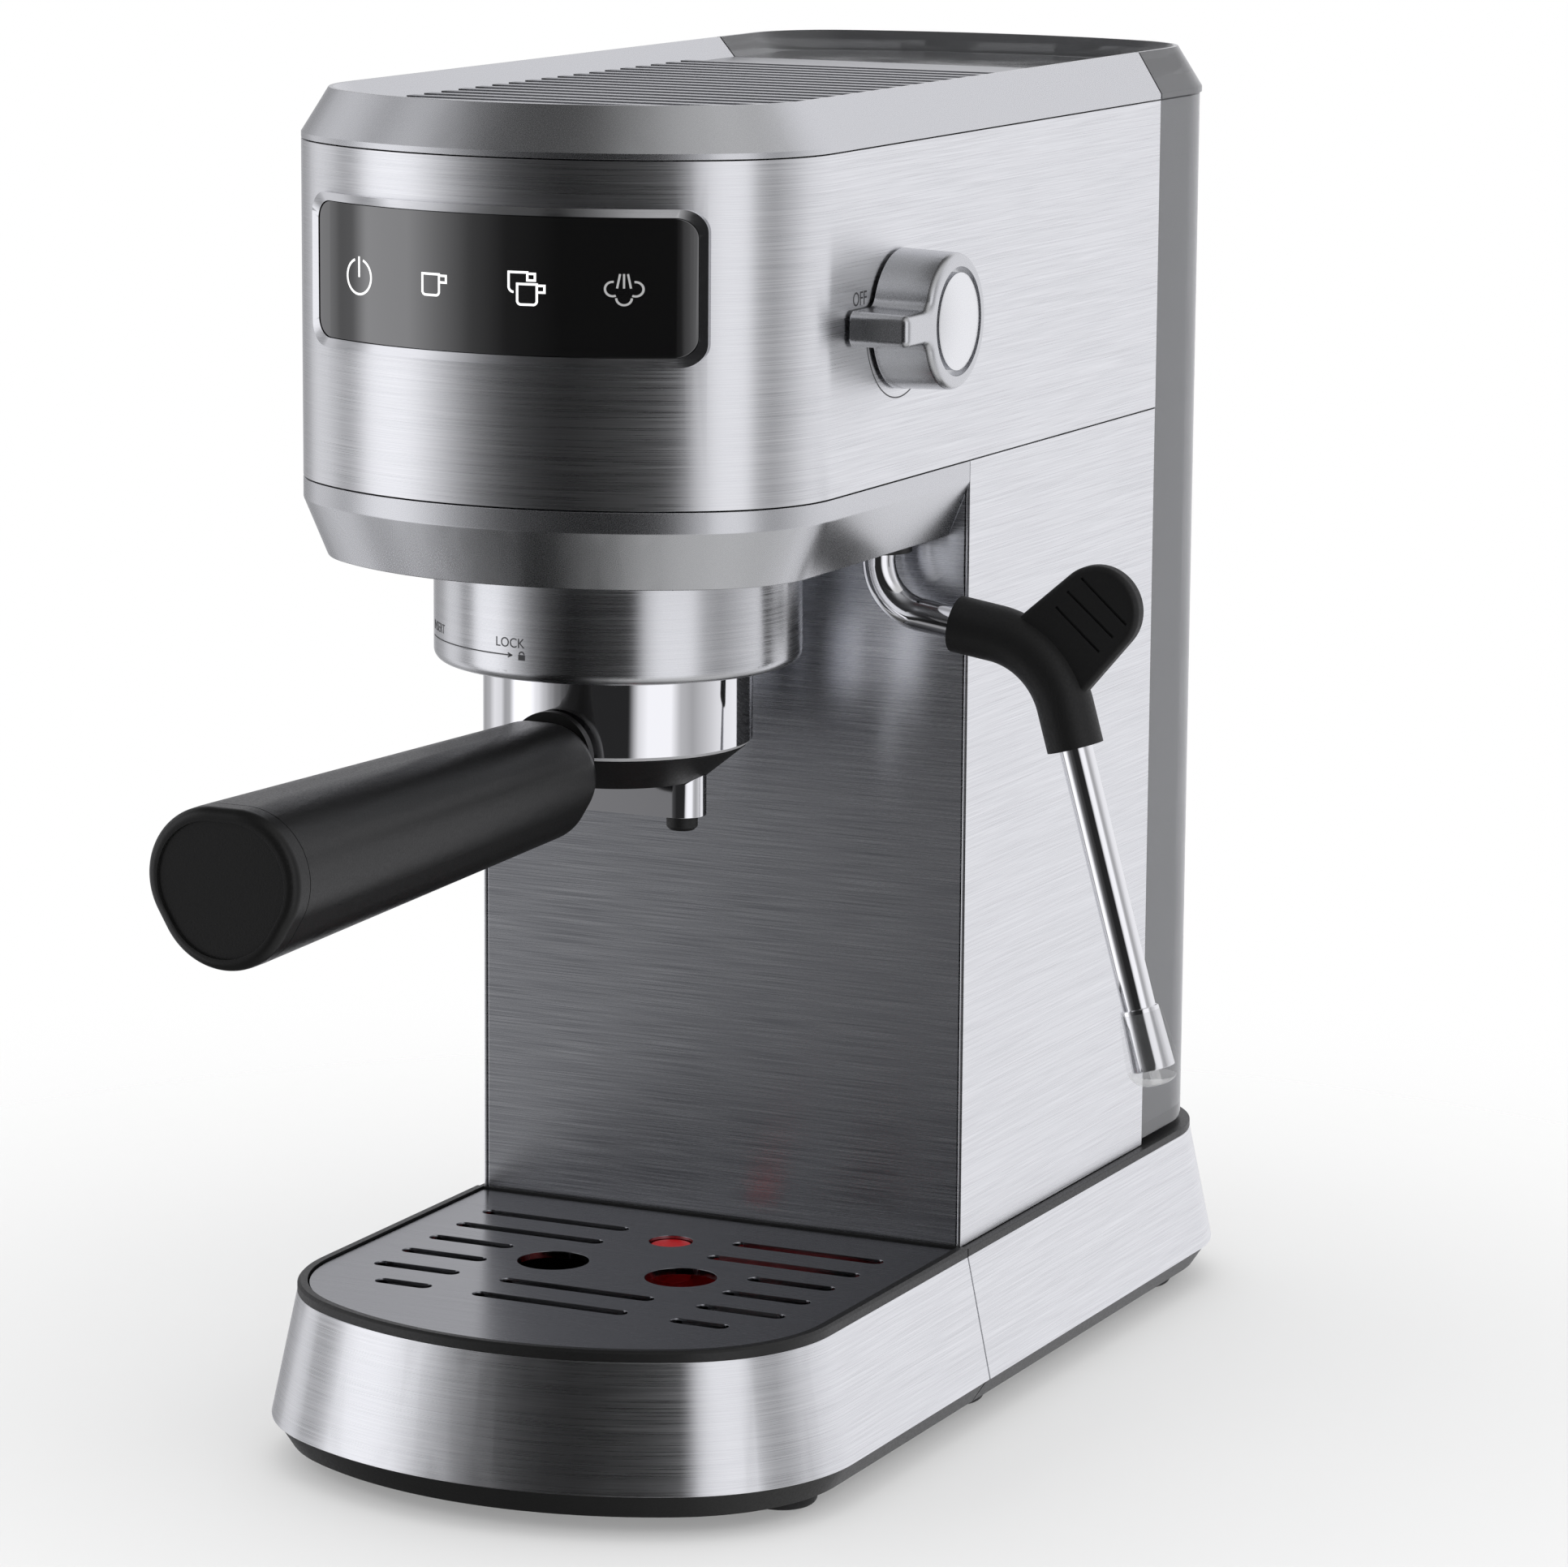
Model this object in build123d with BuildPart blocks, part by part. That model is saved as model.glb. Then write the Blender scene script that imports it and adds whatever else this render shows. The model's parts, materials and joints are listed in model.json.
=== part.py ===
"""A slim home espresso machine, modelled as the pieces that it comes apart into."""
import os
from math import cos, radians, sin, sqrt

from build123d import *

# Driving sizes, in millimetres. X runs to the right, Y to the back and Z up.
# The origin is on the counter, under the middle of the base.

# Clearances
seam = 0.3  # shadow gap between outer panels
snug = 0.15  # between pieces that are fastened together
running = 0.05  # round a shaft that turns in its bore
free_play = 0.4  # round a piece that lifts or slides out

# Column, head and lid
body_half_width = 62.0
column_front = -22.0
panel_back = 88.0
sheet = 1.0
lid_seam_z = 296.0
head_height = 73.7  # the steel band, from seam to seam
head_front = (-140.5, 80.0, 36.5)  # tip, nose radius, corner radius
tank_back = (144.0, 130.0, 30.0)

# Base
base_overhang = 2.0  # past the column on each side
base_front = (-142.8, 89.0, 39.5)
base_back = (146.0, 130.0, 32.0)
skirt_flare = 6.0
skirt_bottom = 9.8
skirt_top = 38.2
deck_z = 40.0
deck_thickness = 3.0
deck_ledge = 10.0
base_wall = 2.5
trim_bottom = 4.0
trim_inset = 4.5
trim_set_in = 0.8
floor_thickness = 2.5
foot_radius = 8.0
foot_ease = 1.0
foot_from_side = 10.0
rear_foot_y = (-9.0, 107.0)
tray_foot_y = -100.0
screw_radius = 2.0
screw_head_radius = 3.6
screw_length = 12.0
screw_head = 2.0
screw_boss_radius = 5.0
screw_rows = ((9.0, 12.0), (24.0, 100.0))  # from the side, y
vent_count = 7
vent_y = 60.0
vent_length = 30.0
vent_width = 3.0
vent_spacing = 8.0
gland_radius = 6.5
gland_bore = 3.6
gland_x = -34.0
gland_z = 22.0
gland_reach = 4.0
gland_depth = 12.0
gland_chamfer = 1.0

# Drip tray, grille and float
rim_width = 2.3
rim_top = 40.6
rim_ease = 0.6
back_rim = 1.0
ledge_width = 2.5
grille_thickness = 1.6
grille_top = 40.0
seat_gap = 0.1
basin_floor = 8.0
slot_width = 4.0
slot_spacing = 13.0
first_slot_y = -41.7
slot_from_side = 12.5
inner_slot_x = (13.5, 13.5, 30.0, 30.0, 30.0, 30.0)
last_slot_from_side = 20.0
middle_slot_rows = (4, 5)
middle_slot_half = 19.2
drip_hole_radius = 8.2
drip_hole_x = 16.2
float_hole_radius = 5.1
float_hole_y = -46.5
float_size = (40.0, 42.0, 9.0)
float_x = 12.0
float_y = -60.0
float_corner = 6.0
float_sink = 0.8
float_post_radius = 2.5
float_post_shoulder = 4.0
float_post_pin = 8.0
float_post_spacing = 22.0
float_seat_z = 22.0
runner_from_side = 20.0
runner_width = 12.0
runner_height = 5.0
runner_length = 22.0
runner_z = 14.0

# Lid bevel and cup tray
lid_lip = 1.4
lid_height = 11.0
lid_bevel = 6.0
lid_rim = 1.0
tray_slope = 4.0
cup_tray_depth = 4.7
lid_wall = 2.2
lid_draft = 2.0
rib_spacing = 8.0
rib_width = 3.2
rib_height = 0.9
rib_margin = 1.0
rib_count = 22
first_rib_y = -110.0

# Head trim
trim_lip = 4.7
trim_height = 17.5
trim_bevel = 5.3
trim_wall = 2.5

# Display
display_rise = 47.1  # above the head's lower seam, as for the knob and the lines
bezel_width = 95.0
bezel_height = 33.2
bezel_lip = 0.7
bezel_face = 2.0
bezel_corner = 5.0
bezel_proud = 1.0
bezel_neck_wall = 2.0
bezel_depth = 14.0
glass_thickness = 3.0
glass_proud = 0.2
display_board_width = 72.0
board_thickness = 1.6

# Steam knob and valve
knob_y = -61.5
knob_rise = 35.7
knob_radius = 15.3
knob_height = 13.6
knob_cap_radius = 10.6
knob_groove = 1.3
knob_dome = 1.8
knob_swell = 0.75
knob_recess = 1.6
knob_draft = 2.0
knob_round = 1.8
lever_length = 27.0
lever_thickness = 7.8
lever_root = 3.0
lever_corner = 2.2
spindle_radius = 3.0
valve_radius = 8.5
valve_length = 18.0
valve_flange_radius = 12.0
valve_flange = 2.4
valve_seat = 5.0
pipe_radius = 3.0
pipe_bore = 1.8
pipe_bend = 8.0
steam_outlet_x = 10.0
steam_line_rise = 55.7
feed_line_rise = 9.7

# Brew group and portafilter
group_y = -74.0
collar_radius = 40.9
collar_drop = 24.4  # below the head
collar_round = 2.5
group_flange_radius = 46.0
group_flange = 4.0
bowl_radius = 30.0
bowl_wall = 2.7
bowl_depth = 36.5
bowl_floor = 3.0
bowl_ease = 0.8
throat_play = 0.8
rim_drop = 6.3  # the bowl below the head
lug_radius = 35.0
lug_half_angle = 12.0
lug_height = 6.0
lug_drop = 8.8  # below the bowl's rim
lug_play = 1.5
lug_clearance = 0.5
insert_angle = -45.0
basket_wall = 0.8
basket_flange = 0.8
basket_depth = 28.0
basket_ease = 3.0
spring_wire = 0.5
spring_arc = 330.0
gasket_height = 5.4
gasket_width = 5.6
screen_thickness = 1.2
screen_drop = 1.6
chamber_height = 1.8
boss_radius = 8.0
screen_ring_spacing = 4.8
screen_holes_per_ring = 6
screen_ring_count = 3
screen_hole_radius = 1.0
underside_depth = 8.0
underside_slope = 10.5
outlet_radius = 4.0
spout_x = 16.0
spout_radius = 5.4
spout_height = 7.8
tip_radius = 3.5
tip_length = 3.4
tip_bore = 2.0
tip_ease = 0.8
handle_drop = 3.5  # below the bowl's floor
handle_start = -107.0
handle_end = -247.0
handle_half_width = 17.3
handle_height = 33.0
handle_taper = 0.79
handle_top_round = 0.84
handle_low_round = 0.93
handle_disc = 0.84
handle_disc_sink = 0.6
handle_cap_length = 5.8
handle_round = 2.3
handle_root_round = 6.0
stub_rise = 1.0
stub_radius = 7.0
neck_radius = 10.0
neck_length = 2.0
stub_depth = 40.0

# Steam wand, in the plane y = wand_y
wand_from_side = 17.7
wand_y = -32.0
wand_pipe_radius = 3.8
wand_bore = 2.2
wand_rise = 5.0  # into the head
knee_drop = 15.1  # these drops are below the head
elbow_reach = 42.2
elbow_drop = 21.6
wand_reach = 64.8
wand_drop = 101.4
wand_knee_radius = 12.0
wand_elbow_radius = 21.0
grip_radius = 6.4
grip_reach = 23.0
paddle_reach = 53.6
paddle_drop = 12.5
paddle_radius = 10.1
paddle_thickness = 5.0
paddle_arm_foot = 6.0
paddle_run_foot = 9.5
paddle_foot_radius = 5.0
paddle_round = 1.5
nozzle_length = 14.0
nozzle_radius = 4.9
nozzle_neck_radius = 4.4
pipe_overlap = 7.0
sleeve_start = 1.0
sleeve_wall = 0.4
sleeve_radius = 6.0
sleeve_full = 11.0
sleeve_end = 3.7
sleeve_bulge = 0.74
sleeve_hole = 1.2
socket_radius = 7.5
socket_flange_radius = 9.4
socket_flange = 2.5
socket_drop = 3.0
socket_cap = 3.0
swivel_collar_radius = 5.6
swivel_collar = 3.0

# Water tank
tank_wall = 2.4
tank_floor = 3.0
tank_bottom = 41.5
tank_joint = 0.6
tank_inset = 0.5
valve_y = 116.0
nozzle_r = 6.0
nozzle_drop = 9.0
nozzle_room = 2.5
valve_bore = 3.0
strainer_radius = 9.0
strainer_height = 14.0
seal_width = 2.0
tank_valve_flange = 13.0
socket_wall = 3.0
socket_nipple = 3.5
hinge_x = (12.0, 23.5)  # where the tank's lugs begin and end
hinge_radius = 2.2
hinge_pin_radius = 1.0
hinge_pin_length = 5.0
hinge_play = 0.4
hinge_web = 3.2
hinge_web_foot = 1.2
hinge_web_drop = 9.7
knuckle_width = 6.0
knuckle_web = 4.8

# Pump, boiler, boards and hoses
pump_y = 35.0
pump_radius = 15.0
pump_bottom = 80.0
pump_top = 180.0
coil_width = 46.0
coil_bottom = 105.0
coil_height = 45.0
coil_corner = 3.0
mount_wall = 4.0
mount_flange = 3.0
shelf_thickness = 6.0
shelf_z = (84.0, 170.0)
shelf_window_x = 42.0
shelf_window_width = 22.0
shelf_window_depth = 50.0
shelf_window_corner = 5.0
frame_wall = 3.5
frame_flange = 20.0
hose_radius = 5.0
nipple_radius = 3.2
nipple_length = 9.0
hose_bend = 9.0
hose_z = 14.0
boiler_radius = 32.0
boiler_flange_radius = 40.0
boiler_wall = 4.0
joint_gasket = 1.5
boiler_flange = 3.0
boiler_lower_height = 25.0
boiler_upper_height = 22.0
boiler_bolt_count = 6
boiler_bolt_radius = 1.6
boiler_bolt_head = 3.0
thermostat_radius = 7.5
thermostat_height = 6.0
thermostat_x = 13.0
pump_line_rise = 23.7
control_board_width = 90.0
control_board_height = 56.0
control_board_rise = 31.7
standoff = 6.0
standoff_radius = 3.0
relay_x = 28.0
relay_z = 14.0
relay_width = 16.0
relay_height = 14.0
relay_depth = 12.0
capacitor_radius = 6.0

# Places that follow from the driving sizes
head_seam_z = lid_seam_z - head_height
lid_top_z = lid_seam_z + lid_height
cup_tray_z = lid_top_z - cup_tray_depth
display_z = head_seam_z + display_rise
knob_z = head_seam_z + knob_rise
steam_line_z = head_seam_z + steam_line_rise
feed_line_z = head_seam_z + feed_line_rise
pump_line_z = head_seam_z + pump_line_rise
control_board_z = head_seam_z + control_board_rise
base_half_width = body_half_width + base_overhang
foot_x = base_half_width - foot_from_side
runner_x = base_half_width - runner_from_side
screw_places = [(side * (base_half_width - inset), y) for inset, y in screw_rows for side in (-1, 1)]
rear_start = column_front + seam / 2
tray_end = column_front - seam / 2
skirt_inset = sheet + snug
trim_flare = trim_set_in - skirt_flare
nose_centre_y = head_front[0] + head_front[1]
group_axis = Axis((0, group_y, 0), (0, 0, 1))
collar_inner = collar_radius - sheet
head_floor_z = head_seam_z - trim_height
head_floor_top = head_floor_z + trim_wall
collar_bottom = head_floor_z - collar_drop
bowl_rim_z = head_floor_z - rim_drop
bowl_bottom = bowl_rim_z - bowl_depth
lug_bottom = bowl_rim_z - lug_drop
handle_z = bowl_bottom - handle_drop
stub_z = bowl_bottom + stub_rise
group_top = head_floor_top + group_flange
boiler_joint_z = group_top + boiler_lower_height
boiler_top = boiler_joint_z + boiler_upper_height
gasket_bottom = bowl_rim_z + basket_flange + seam
gasket_top = gasket_bottom + gasket_height
gasket_outer = bowl_radius + throat_play - snug
panel_inner = body_half_width - sheet
tank_front = panel_back + tank_joint
tank_top = lid_seam_z - seam
hinge_y = tank_back[0]
hinge_z = lid_seam_z
basket_radius = bowl_radius - bowl_wall - 2 * spring_wire - snug
underside_bottom = bowl_bottom - underside_depth
spout_bottom = underside_bottom - spout_height
frame_back = panel_back - snug
knob_start = body_half_width + 2 * seam
knob_face = knob_start + knob_height
valve_start = panel_inner - valve_length
valve_port_x = panel_inner - valve_length / 2
spindle_start = valve_start + valve_seat
spindle_end = knob_face - 2 * knob_recess
floor_top = trim_bottom + floor_thickness
gland_inset = -skirt_flare * (skirt_top - gland_z) / (skirt_top - skirt_bottom)
gland_nose = base_back[1] - gland_inset
gland_wall_y = base_back[0] - base_back[1] + sqrt(gland_nose ** 2 - gland_x ** 2)
grille_bottom = grille_top - grille_thickness
ledge_z = grille_bottom - seat_gap
float_bottom = float_seat_z + seam
float_bore = float_post_pin + seam
float_posts = (float_x - float_post_spacing / 2, float_x + float_post_spacing / 2)
frame_front = frame_back - frame_wall
frame_half_width = panel_inner - snug
shelf_front = column_front + sheet + snug
mount_radius = pump_radius + mount_wall
lid_lip_z = lid_seam_z + lid_lip
trim_lip_z = head_seam_z - trim_lip
window_width = bezel_width - 2 * bezel_lip
window_height = bezel_height - 2 * bezel_lip
glass_width = bezel_width - 2 * bezel_face
glass_height = bezel_height - 2 * bezel_face
board_reach = sqrt((head_front[1] - bezel_depth) ** 2 - (display_board_width / 2) ** 2)
display_board_y = nose_centre_y - board_reach + snug
throat_radius = bowl_radius + throat_play
groove_radius = lug_radius + lug_clearance
casting_radius = collar_inner - snug
casting_bottom = collar_bottom + sheet + snug
gasket_inner = gasket_outer - gasket_width
screen_radius = gasket_inner - 2 * snug
screen_top = gasket_bottom + screen_drop
chamber_z = screen_top + chamber_height
basket_bottom = bowl_rim_z + basket_flange - basket_depth
stub_start = bowl_radius - bowl_wall / 2 - group_y
handle_cap_start = handle_end + handle_cap_length
wand_x = body_half_width - wand_from_side
wand_top = head_floor_z + wand_rise
wand_knee_z = head_floor_z - knee_drop
wand_elbow = (wand_x + elbow_reach, head_floor_z - elbow_drop)
wand_end = (wand_x + wand_reach, head_floor_z - wand_drop)
paddle_centre = (wand_x + paddle_reach, head_floor_z - paddle_drop)
swivel_z = wand_top - swivel_collar
nozzle_swell = (nozzle_radius - nozzle_neck_radius) * sleeve_start / nozzle_length
sleeve_mouth = nozzle_neck_radius + nozzle_swell + running
socket_bottom = head_floor_z - socket_drop
socket_top = wand_top + seam + socket_cap
tank_inside_z = tank_bottom + tank_floor
socket_bore = nozzle_r + seal_width
socket_outer = socket_bore + socket_wall
socket_rim = socket_outer + socket_wall
socket_cup_bottom = tank_bottom - nozzle_drop - nozzle_room - socket_wall
nipple_bottom = socket_cup_bottom - socket_nipple
upper_flange_z = boiler_joint_z + joint_gasket
boiler_back = group_y + boiler_radius
bolt_circle = (boiler_radius + boiler_flange_radius) / 2


# Helpers

def bowed_end(half_width, tip, nose, corner, towards):
    """Edges of a bowed end: a corner arc, the nose arc and a corner arc; and where the sides begin."""
    nose_y = tip - towards * nose
    reach = sqrt((nose - corner) ** 2 - (half_width - corner) ** 2)
    centre = Vector(half_width - corner, nose_y + towards * reach)
    lean = Vector(half_width - corner, towards * reach).normalized()
    touch = Vector(0, nose_y) + lean * nose
    middle = centre + (lean + Vector(1, 0)).normalized() * corner
    edges = [Edge.make_three_point_arc(touch, Vector(0, tip), Vector(-touch.X, touch.Y))]
    for side in (1, -1):
        start = Vector(side * half_width, centre.Y)
        edges.append(Edge.make_three_point_arc(start, Vector(side * middle.X, middle.Y),
                                               Vector(side * touch.X, touch.Y)))
    return edges, centre.Y


def plan_face(half_width, front, back, inset=0.0):
    """A plan outline drawn in by inset. Each end is a straight cut at a y, or (tip, nose, corner)."""
    half = half_width - inset
    with BuildSketch() as plan:
        with BuildLine():
            sides = []
            for end, towards in ((front, -1), (back, 1)):
                if isinstance(end, tuple):
                    tip, nose, corner = end
                    arcs, side_y = bowed_end(half, tip - towards * inset, nose - inset,
                                             corner - inset, towards)
                    add(arcs)
                else:
                    side_y = end
                    Line((-half, end), (half, end))
                sides.append(side_y)
            for side in (1, -1):
                Line((side * half, sides[0]), (side * half, sides[1]))
        make_face()
    return plan.sketch


def tapered_block(half_width, front, back, low, high):
    """The solid between two plan outlines, each at its (z, inset)."""
    with BuildPart() as block:
        for z, inset in (low, high):
            with BuildSketch(Plane.XY.offset(z)):
                add(plan_face(half_width, front, back, inset))
        loft(ruled=True)
    return block.part


def upright_block(half_width, front, back, inset, low_z, high_z):
    """A plan outline raised straight up from low_z to high_z."""
    with BuildPart() as block:
        with BuildSketch(Plane.XY.offset(low_z)):
            add(plan_face(half_width, front, back, inset))
        extrude(amount=high_z - low_z)
    return block.part


def round_bar(x, y, radius, low_z, high_z):
    """An upright cylinder."""
    with BuildPart() as bar:
        with BuildSketch(Plane.XY.offset(low_z)):
            with Locations((x, y)):
                Circle(radius)
        extrude(amount=high_z - low_z)
    return bar.part


def radial_plane(angle, x=0.0, y=group_y):
    """A plane through an upright axis at (x, y): local x runs outwards at the angle, local y is up."""
    turn = radians(angle)
    return Plane(origin=(x, y, 0), x_dir=(cos(turn), sin(turn), 0), z_dir=(sin(turn), -cos(turn), 0))


def turned(points, x=0.0, y=group_y, angle=0.0, arc=360.0):
    """A profile of (radius, z) points turned about an upright axis at (x, y)."""
    with BuildPart() as body:
        with BuildSketch(radial_plane(angle, x, y)):
            with BuildLine():
                Polyline(*points, close=True)
            make_face()
        revolve(axis=Axis((x, y, 0), (0, 0, 1)), revolution_arc=arc)
    return body.part


def pipe(points, bends, outer, bore):
    """A round tube along straight runs joined by bends."""
    with BuildPart() as tube:
        with BuildLine() as route:
            FilletPolyline(*points, radius=bends)
        with BuildSketch(Plane(origin=route.line @ 0, z_dir=route.line % 0)):
            Circle(outer)
            if bore:
                Circle(bore, mode=Mode.SUBTRACT)
        sweep(path=route.line)
    return tube.part


def bowed_panel(width, height, corner, inner_radius, outer_radius):
    """A rounded rectangle on the front of the head, between two radii about the nose centre."""
    with BuildPart() as panel:
        with BuildSketch(Plane.XZ.offset(-nose_centre_y)):
            with Locations((0, display_z)):
                RectangleRounded(width, height, corner)
        extrude(amount=2 * outer_radius)
        with BuildSketch(Plane.XY.offset(display_z - height)):
            with Locations((0, nose_centre_y)):
                Circle(outer_radius)
                Circle(inner_radius, mode=Mode.SUBTRACT)
        extrude(amount=2 * height, mode=Mode.INTERSECT)
    return panel.part


def handle_section(scale):
    """The handle's section: wide and softly flat on top, drawn in to a rounder underside."""
    half_width = scale * handle_half_width
    half_height = scale * handle_height / 2
    top_round = handle_top_round * half_width
    low_round = handle_low_round * half_height
    with BuildSketch() as section:
        with Locations((half_width - top_round, half_height - top_round),
                       (top_round - half_width, half_height - top_round)):
            Circle(top_round)
        with Locations((0, low_round - half_height)):
            Circle(low_round)
        make_hull()
    return section.sketch


# Rear base: the plate underneath, the moulded shell, the steel skirt and the feet

with BuildPart() as bottom_plate:
    add(tapered_block(base_half_width, rear_start, base_back,
                      (trim_bottom, trim_inset - skirt_flare), (skirt_bottom - snug, trim_flare)))
    add(tapered_block(base_half_width, rear_start + base_wall, base_back,
                      (floor_top, trim_inset - skirt_flare + base_wall),
                      (skirt_bottom, trim_flare + base_wall)), mode=Mode.SUBTRACT)
    with BuildSketch(Plane.XY.offset(trim_bottom)):
        with Locations((0, vent_y)):
            with GridLocations(0, vent_spacing, 1, vent_count):
                SlotOverall(vent_length, vent_width)
        with Locations(*screw_places):
            Circle(screw_radius + snug)
    extrude(amount=floor_thickness, mode=Mode.SUBTRACT)

with BuildPart() as base_screws:
    for x, y in screw_places:
        add(round_bar(x, y, screw_radius, trim_bottom - snug, trim_bottom - snug + screw_length))
        add(round_bar(x, y, screw_head_radius, trim_bottom - snug - screw_head, trim_bottom - snug))

with BuildPart() as base_shell:
    add(tapered_block(base_half_width, rear_start, base_back,
                      (skirt_bottom, skirt_inset - skirt_flare), (skirt_top, skirt_inset)))
    add(upright_block(base_half_width, rear_start, base_back, 0, skirt_top, deck_z))
    add(tapered_block(base_half_width, rear_start + base_wall, base_back,
                      (skirt_bottom, skirt_inset - skirt_flare + base_wall),
                      (deck_z - deck_thickness, skirt_inset + base_wall)), mode=Mode.SUBTRACT)
    for x, y in screw_places:
        add(round_bar(x, y, screw_boss_radius, floor_top + snug, deck_z - deck_thickness))
        add(round_bar(x, y, screw_radius + running, floor_top + snug, floor_top + screw_length),
            mode=Mode.SUBTRACT)
    with BuildSketch(Plane.XY.offset(deck_z - deck_thickness)):
        with Locations((0, (column_front + frame_front) / 2)):
            RectangleRounded(2 * (panel_inner - deck_ledge), frame_front - column_front - 2 * deck_ledge,
                             deck_ledge)
        with Locations((0, valve_y)):
            Circle(socket_outer + snug)
    extrude(amount=deck_thickness, mode=Mode.SUBTRACT)
    with BuildSketch(Plane.XZ.offset(-rear_start)):
        with Locations((runner_x, runner_z), (-runner_x, runner_z)):
            Rectangle(runner_width + 2 * seam, runner_height + 2 * seam)
    extrude(amount=-base_wall, mode=Mode.SUBTRACT)
    with BuildSketch(Plane.XZ.offset(-gland_wall_y)):
        with Locations((gland_x, gland_z)):
            Circle(gland_radius + snug)
    extrude(amount=gland_depth, both=True, mode=Mode.SUBTRACT)

with BuildPart() as rear_skirt:
    add(tapered_block(base_half_width, rear_start, base_back, (skirt_bottom, -skirt_flare),
                      (skirt_top, 0)))
    add(tapered_block(base_half_width, rear_start - base_wall, base_back,
                      (skirt_bottom, sheet - skirt_flare), (skirt_top, sheet)), mode=Mode.SUBTRACT)
    with BuildSketch(Plane.XZ.offset(-gland_wall_y)):
        with Locations((gland_x, gland_z)):
            Circle(gland_radius + snug)
    extrude(amount=gland_depth, both=True, mode=Mode.SUBTRACT)

with BuildPart() as cord_gland:
    with BuildSketch(Plane.XZ.offset(-gland_wall_y - gland_reach)):
        with Locations((gland_x, gland_z)):
            Circle(gland_radius)
            Circle(gland_bore, mode=Mode.SUBTRACT)
    extrude(amount=gland_reach + gland_depth)
    chamfer(cord_gland.edges().group_by(Axis.Y)[-1].sort_by(SortBy.RADIUS)[-1], gland_chamfer)


def rubber_foot(x, y):
    """One foot, with its lower edge eased."""
    with BuildPart() as foot:
        add(round_bar(x, y, foot_radius, 0, trim_bottom))
        chamfer(foot.edges().group_by(Axis.Z)[0], foot_ease)
    return foot.part


with BuildPart() as rubber_feet:
    for y in rear_foot_y:
        for x in (-foot_x, foot_x):
            add(rubber_foot(x, y))

# Drip tray: steel front, moulded basin, feet, grille and float

with BuildPart() as tray_skirt:
    add(tapered_block(base_half_width, base_front, tray_end, (skirt_bottom, -skirt_flare),
                      (skirt_top, 0)))
    add(tapered_block(base_half_width, base_front, tray_end + base_wall,
                      (skirt_bottom, sheet - skirt_flare), (skirt_top, sheet)), mode=Mode.SUBTRACT)

with BuildPart() as tray_body:
    add(tapered_block(base_half_width, base_front, tray_end,
                      (skirt_bottom, skirt_inset - skirt_flare), (skirt_top, skirt_inset)))
    add(tapered_block(base_half_width, base_front, tray_end,
                      (trim_bottom, trim_inset - skirt_flare), (skirt_bottom, trim_flare)))
    add(upright_block(base_half_width, base_front, tray_end, 0, skirt_top, rim_top))
    chamfer(tray_body.faces().sort_by(Axis.Z)[-1].edges(), rim_ease)
    add(upright_block(base_half_width, base_front, tray_end - base_wall, rim_width + ledge_width,
                      basin_floor, grille_bottom), mode=Mode.SUBTRACT)
    add(upright_block(base_half_width, base_front, tray_end - back_rim, rim_width, ledge_z, rim_top),
        mode=Mode.SUBTRACT)
    for x in float_posts:
        add(round_bar(x, float_y, float_post_shoulder, basin_floor, float_seat_z))
        add(round_bar(x, float_y, float_post_radius, basin_floor, float_seat_z + float_post_pin))
    with BuildSketch(Plane.XZ.offset(-tray_end + base_wall)):
        with Locations((runner_x, runner_z), (-runner_x, runner_z)):
            Rectangle(runner_width, runner_height)
    extrude(amount=-(base_wall + runner_length))

with BuildPart() as tray_feet:
    for x in (-foot_x, foot_x):
        add(rubber_foot(x, tray_foot_y))

with BuildPart() as drip_grille:
    add(upright_block(base_half_width, base_front, tray_end - back_rim - free_play, rim_width + free_play,
                      grille_bottom, grille_top))
    with BuildSketch(Plane.XY.offset(grille_bottom)):
        for row, inner_x in enumerate(inner_slot_x):
            row_y = first_slot_y - row * slot_spacing
            from_side = last_slot_from_side if row == len(inner_slot_x) - 1 else slot_from_side
            outer_x = base_half_width - from_side
            with Locations(((inner_x + outer_x) / 2, row_y), (-(inner_x + outer_x) / 2, row_y)):
                SlotOverall(outer_x - inner_x, slot_width)
            if row in middle_slot_rows:
                with Locations((0, row_y)):
                    SlotOverall(2 * middle_slot_half, slot_width)
        with Locations((drip_hole_x, group_y), (-drip_hole_x, group_y)):
            Circle(drip_hole_radius)
        with Locations((0, float_hole_y)):
            Circle(float_hole_radius)
    extrude(amount=grille_thickness, mode=Mode.SUBTRACT)

with BuildPart() as tray_float:
    with BuildSketch(Plane.XY.offset(float_bottom)):
        with Locations((float_x, float_y)):
            RectangleRounded(float_size[0], float_size[1], float_corner)
    extrude(amount=float_size[2])
    add(round_bar(0, float_hole_y, float_hole_radius - free_play, float_bottom, grille_top - float_sink))
    for x in float_posts:
        add(round_bar(x, float_y, float_post_radius + seam, float_bottom, float_bottom + float_bore),
            mode=Mode.SUBTRACT)

# Column: steel panels on a moulded frame

with BuildPart() as column_front_panel:
    with BuildSketch(Plane.XY.offset(deck_z + snug)):
        with Locations((0, column_front + sheet / 2)):
            Rectangle(2 * (panel_inner - snug), sheet)
    extrude(amount=head_seam_z - deck_z - 2 * snug)


def side_panel(side):
    """One steel side of the column, from the deck to the head."""
    with BuildPart() as panel:
        with BuildSketch(Plane.XY.offset(deck_z + snug)):
            with Locations((side * (body_half_width - sheet / 2), (column_front + panel_back) / 2)):
                Rectangle(sheet, panel_back - column_front)
        extrude(amount=head_seam_z - deck_z - 2 * snug)
    return panel


column_side_left = side_panel(-1)
column_side_right = side_panel(1)

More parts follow.
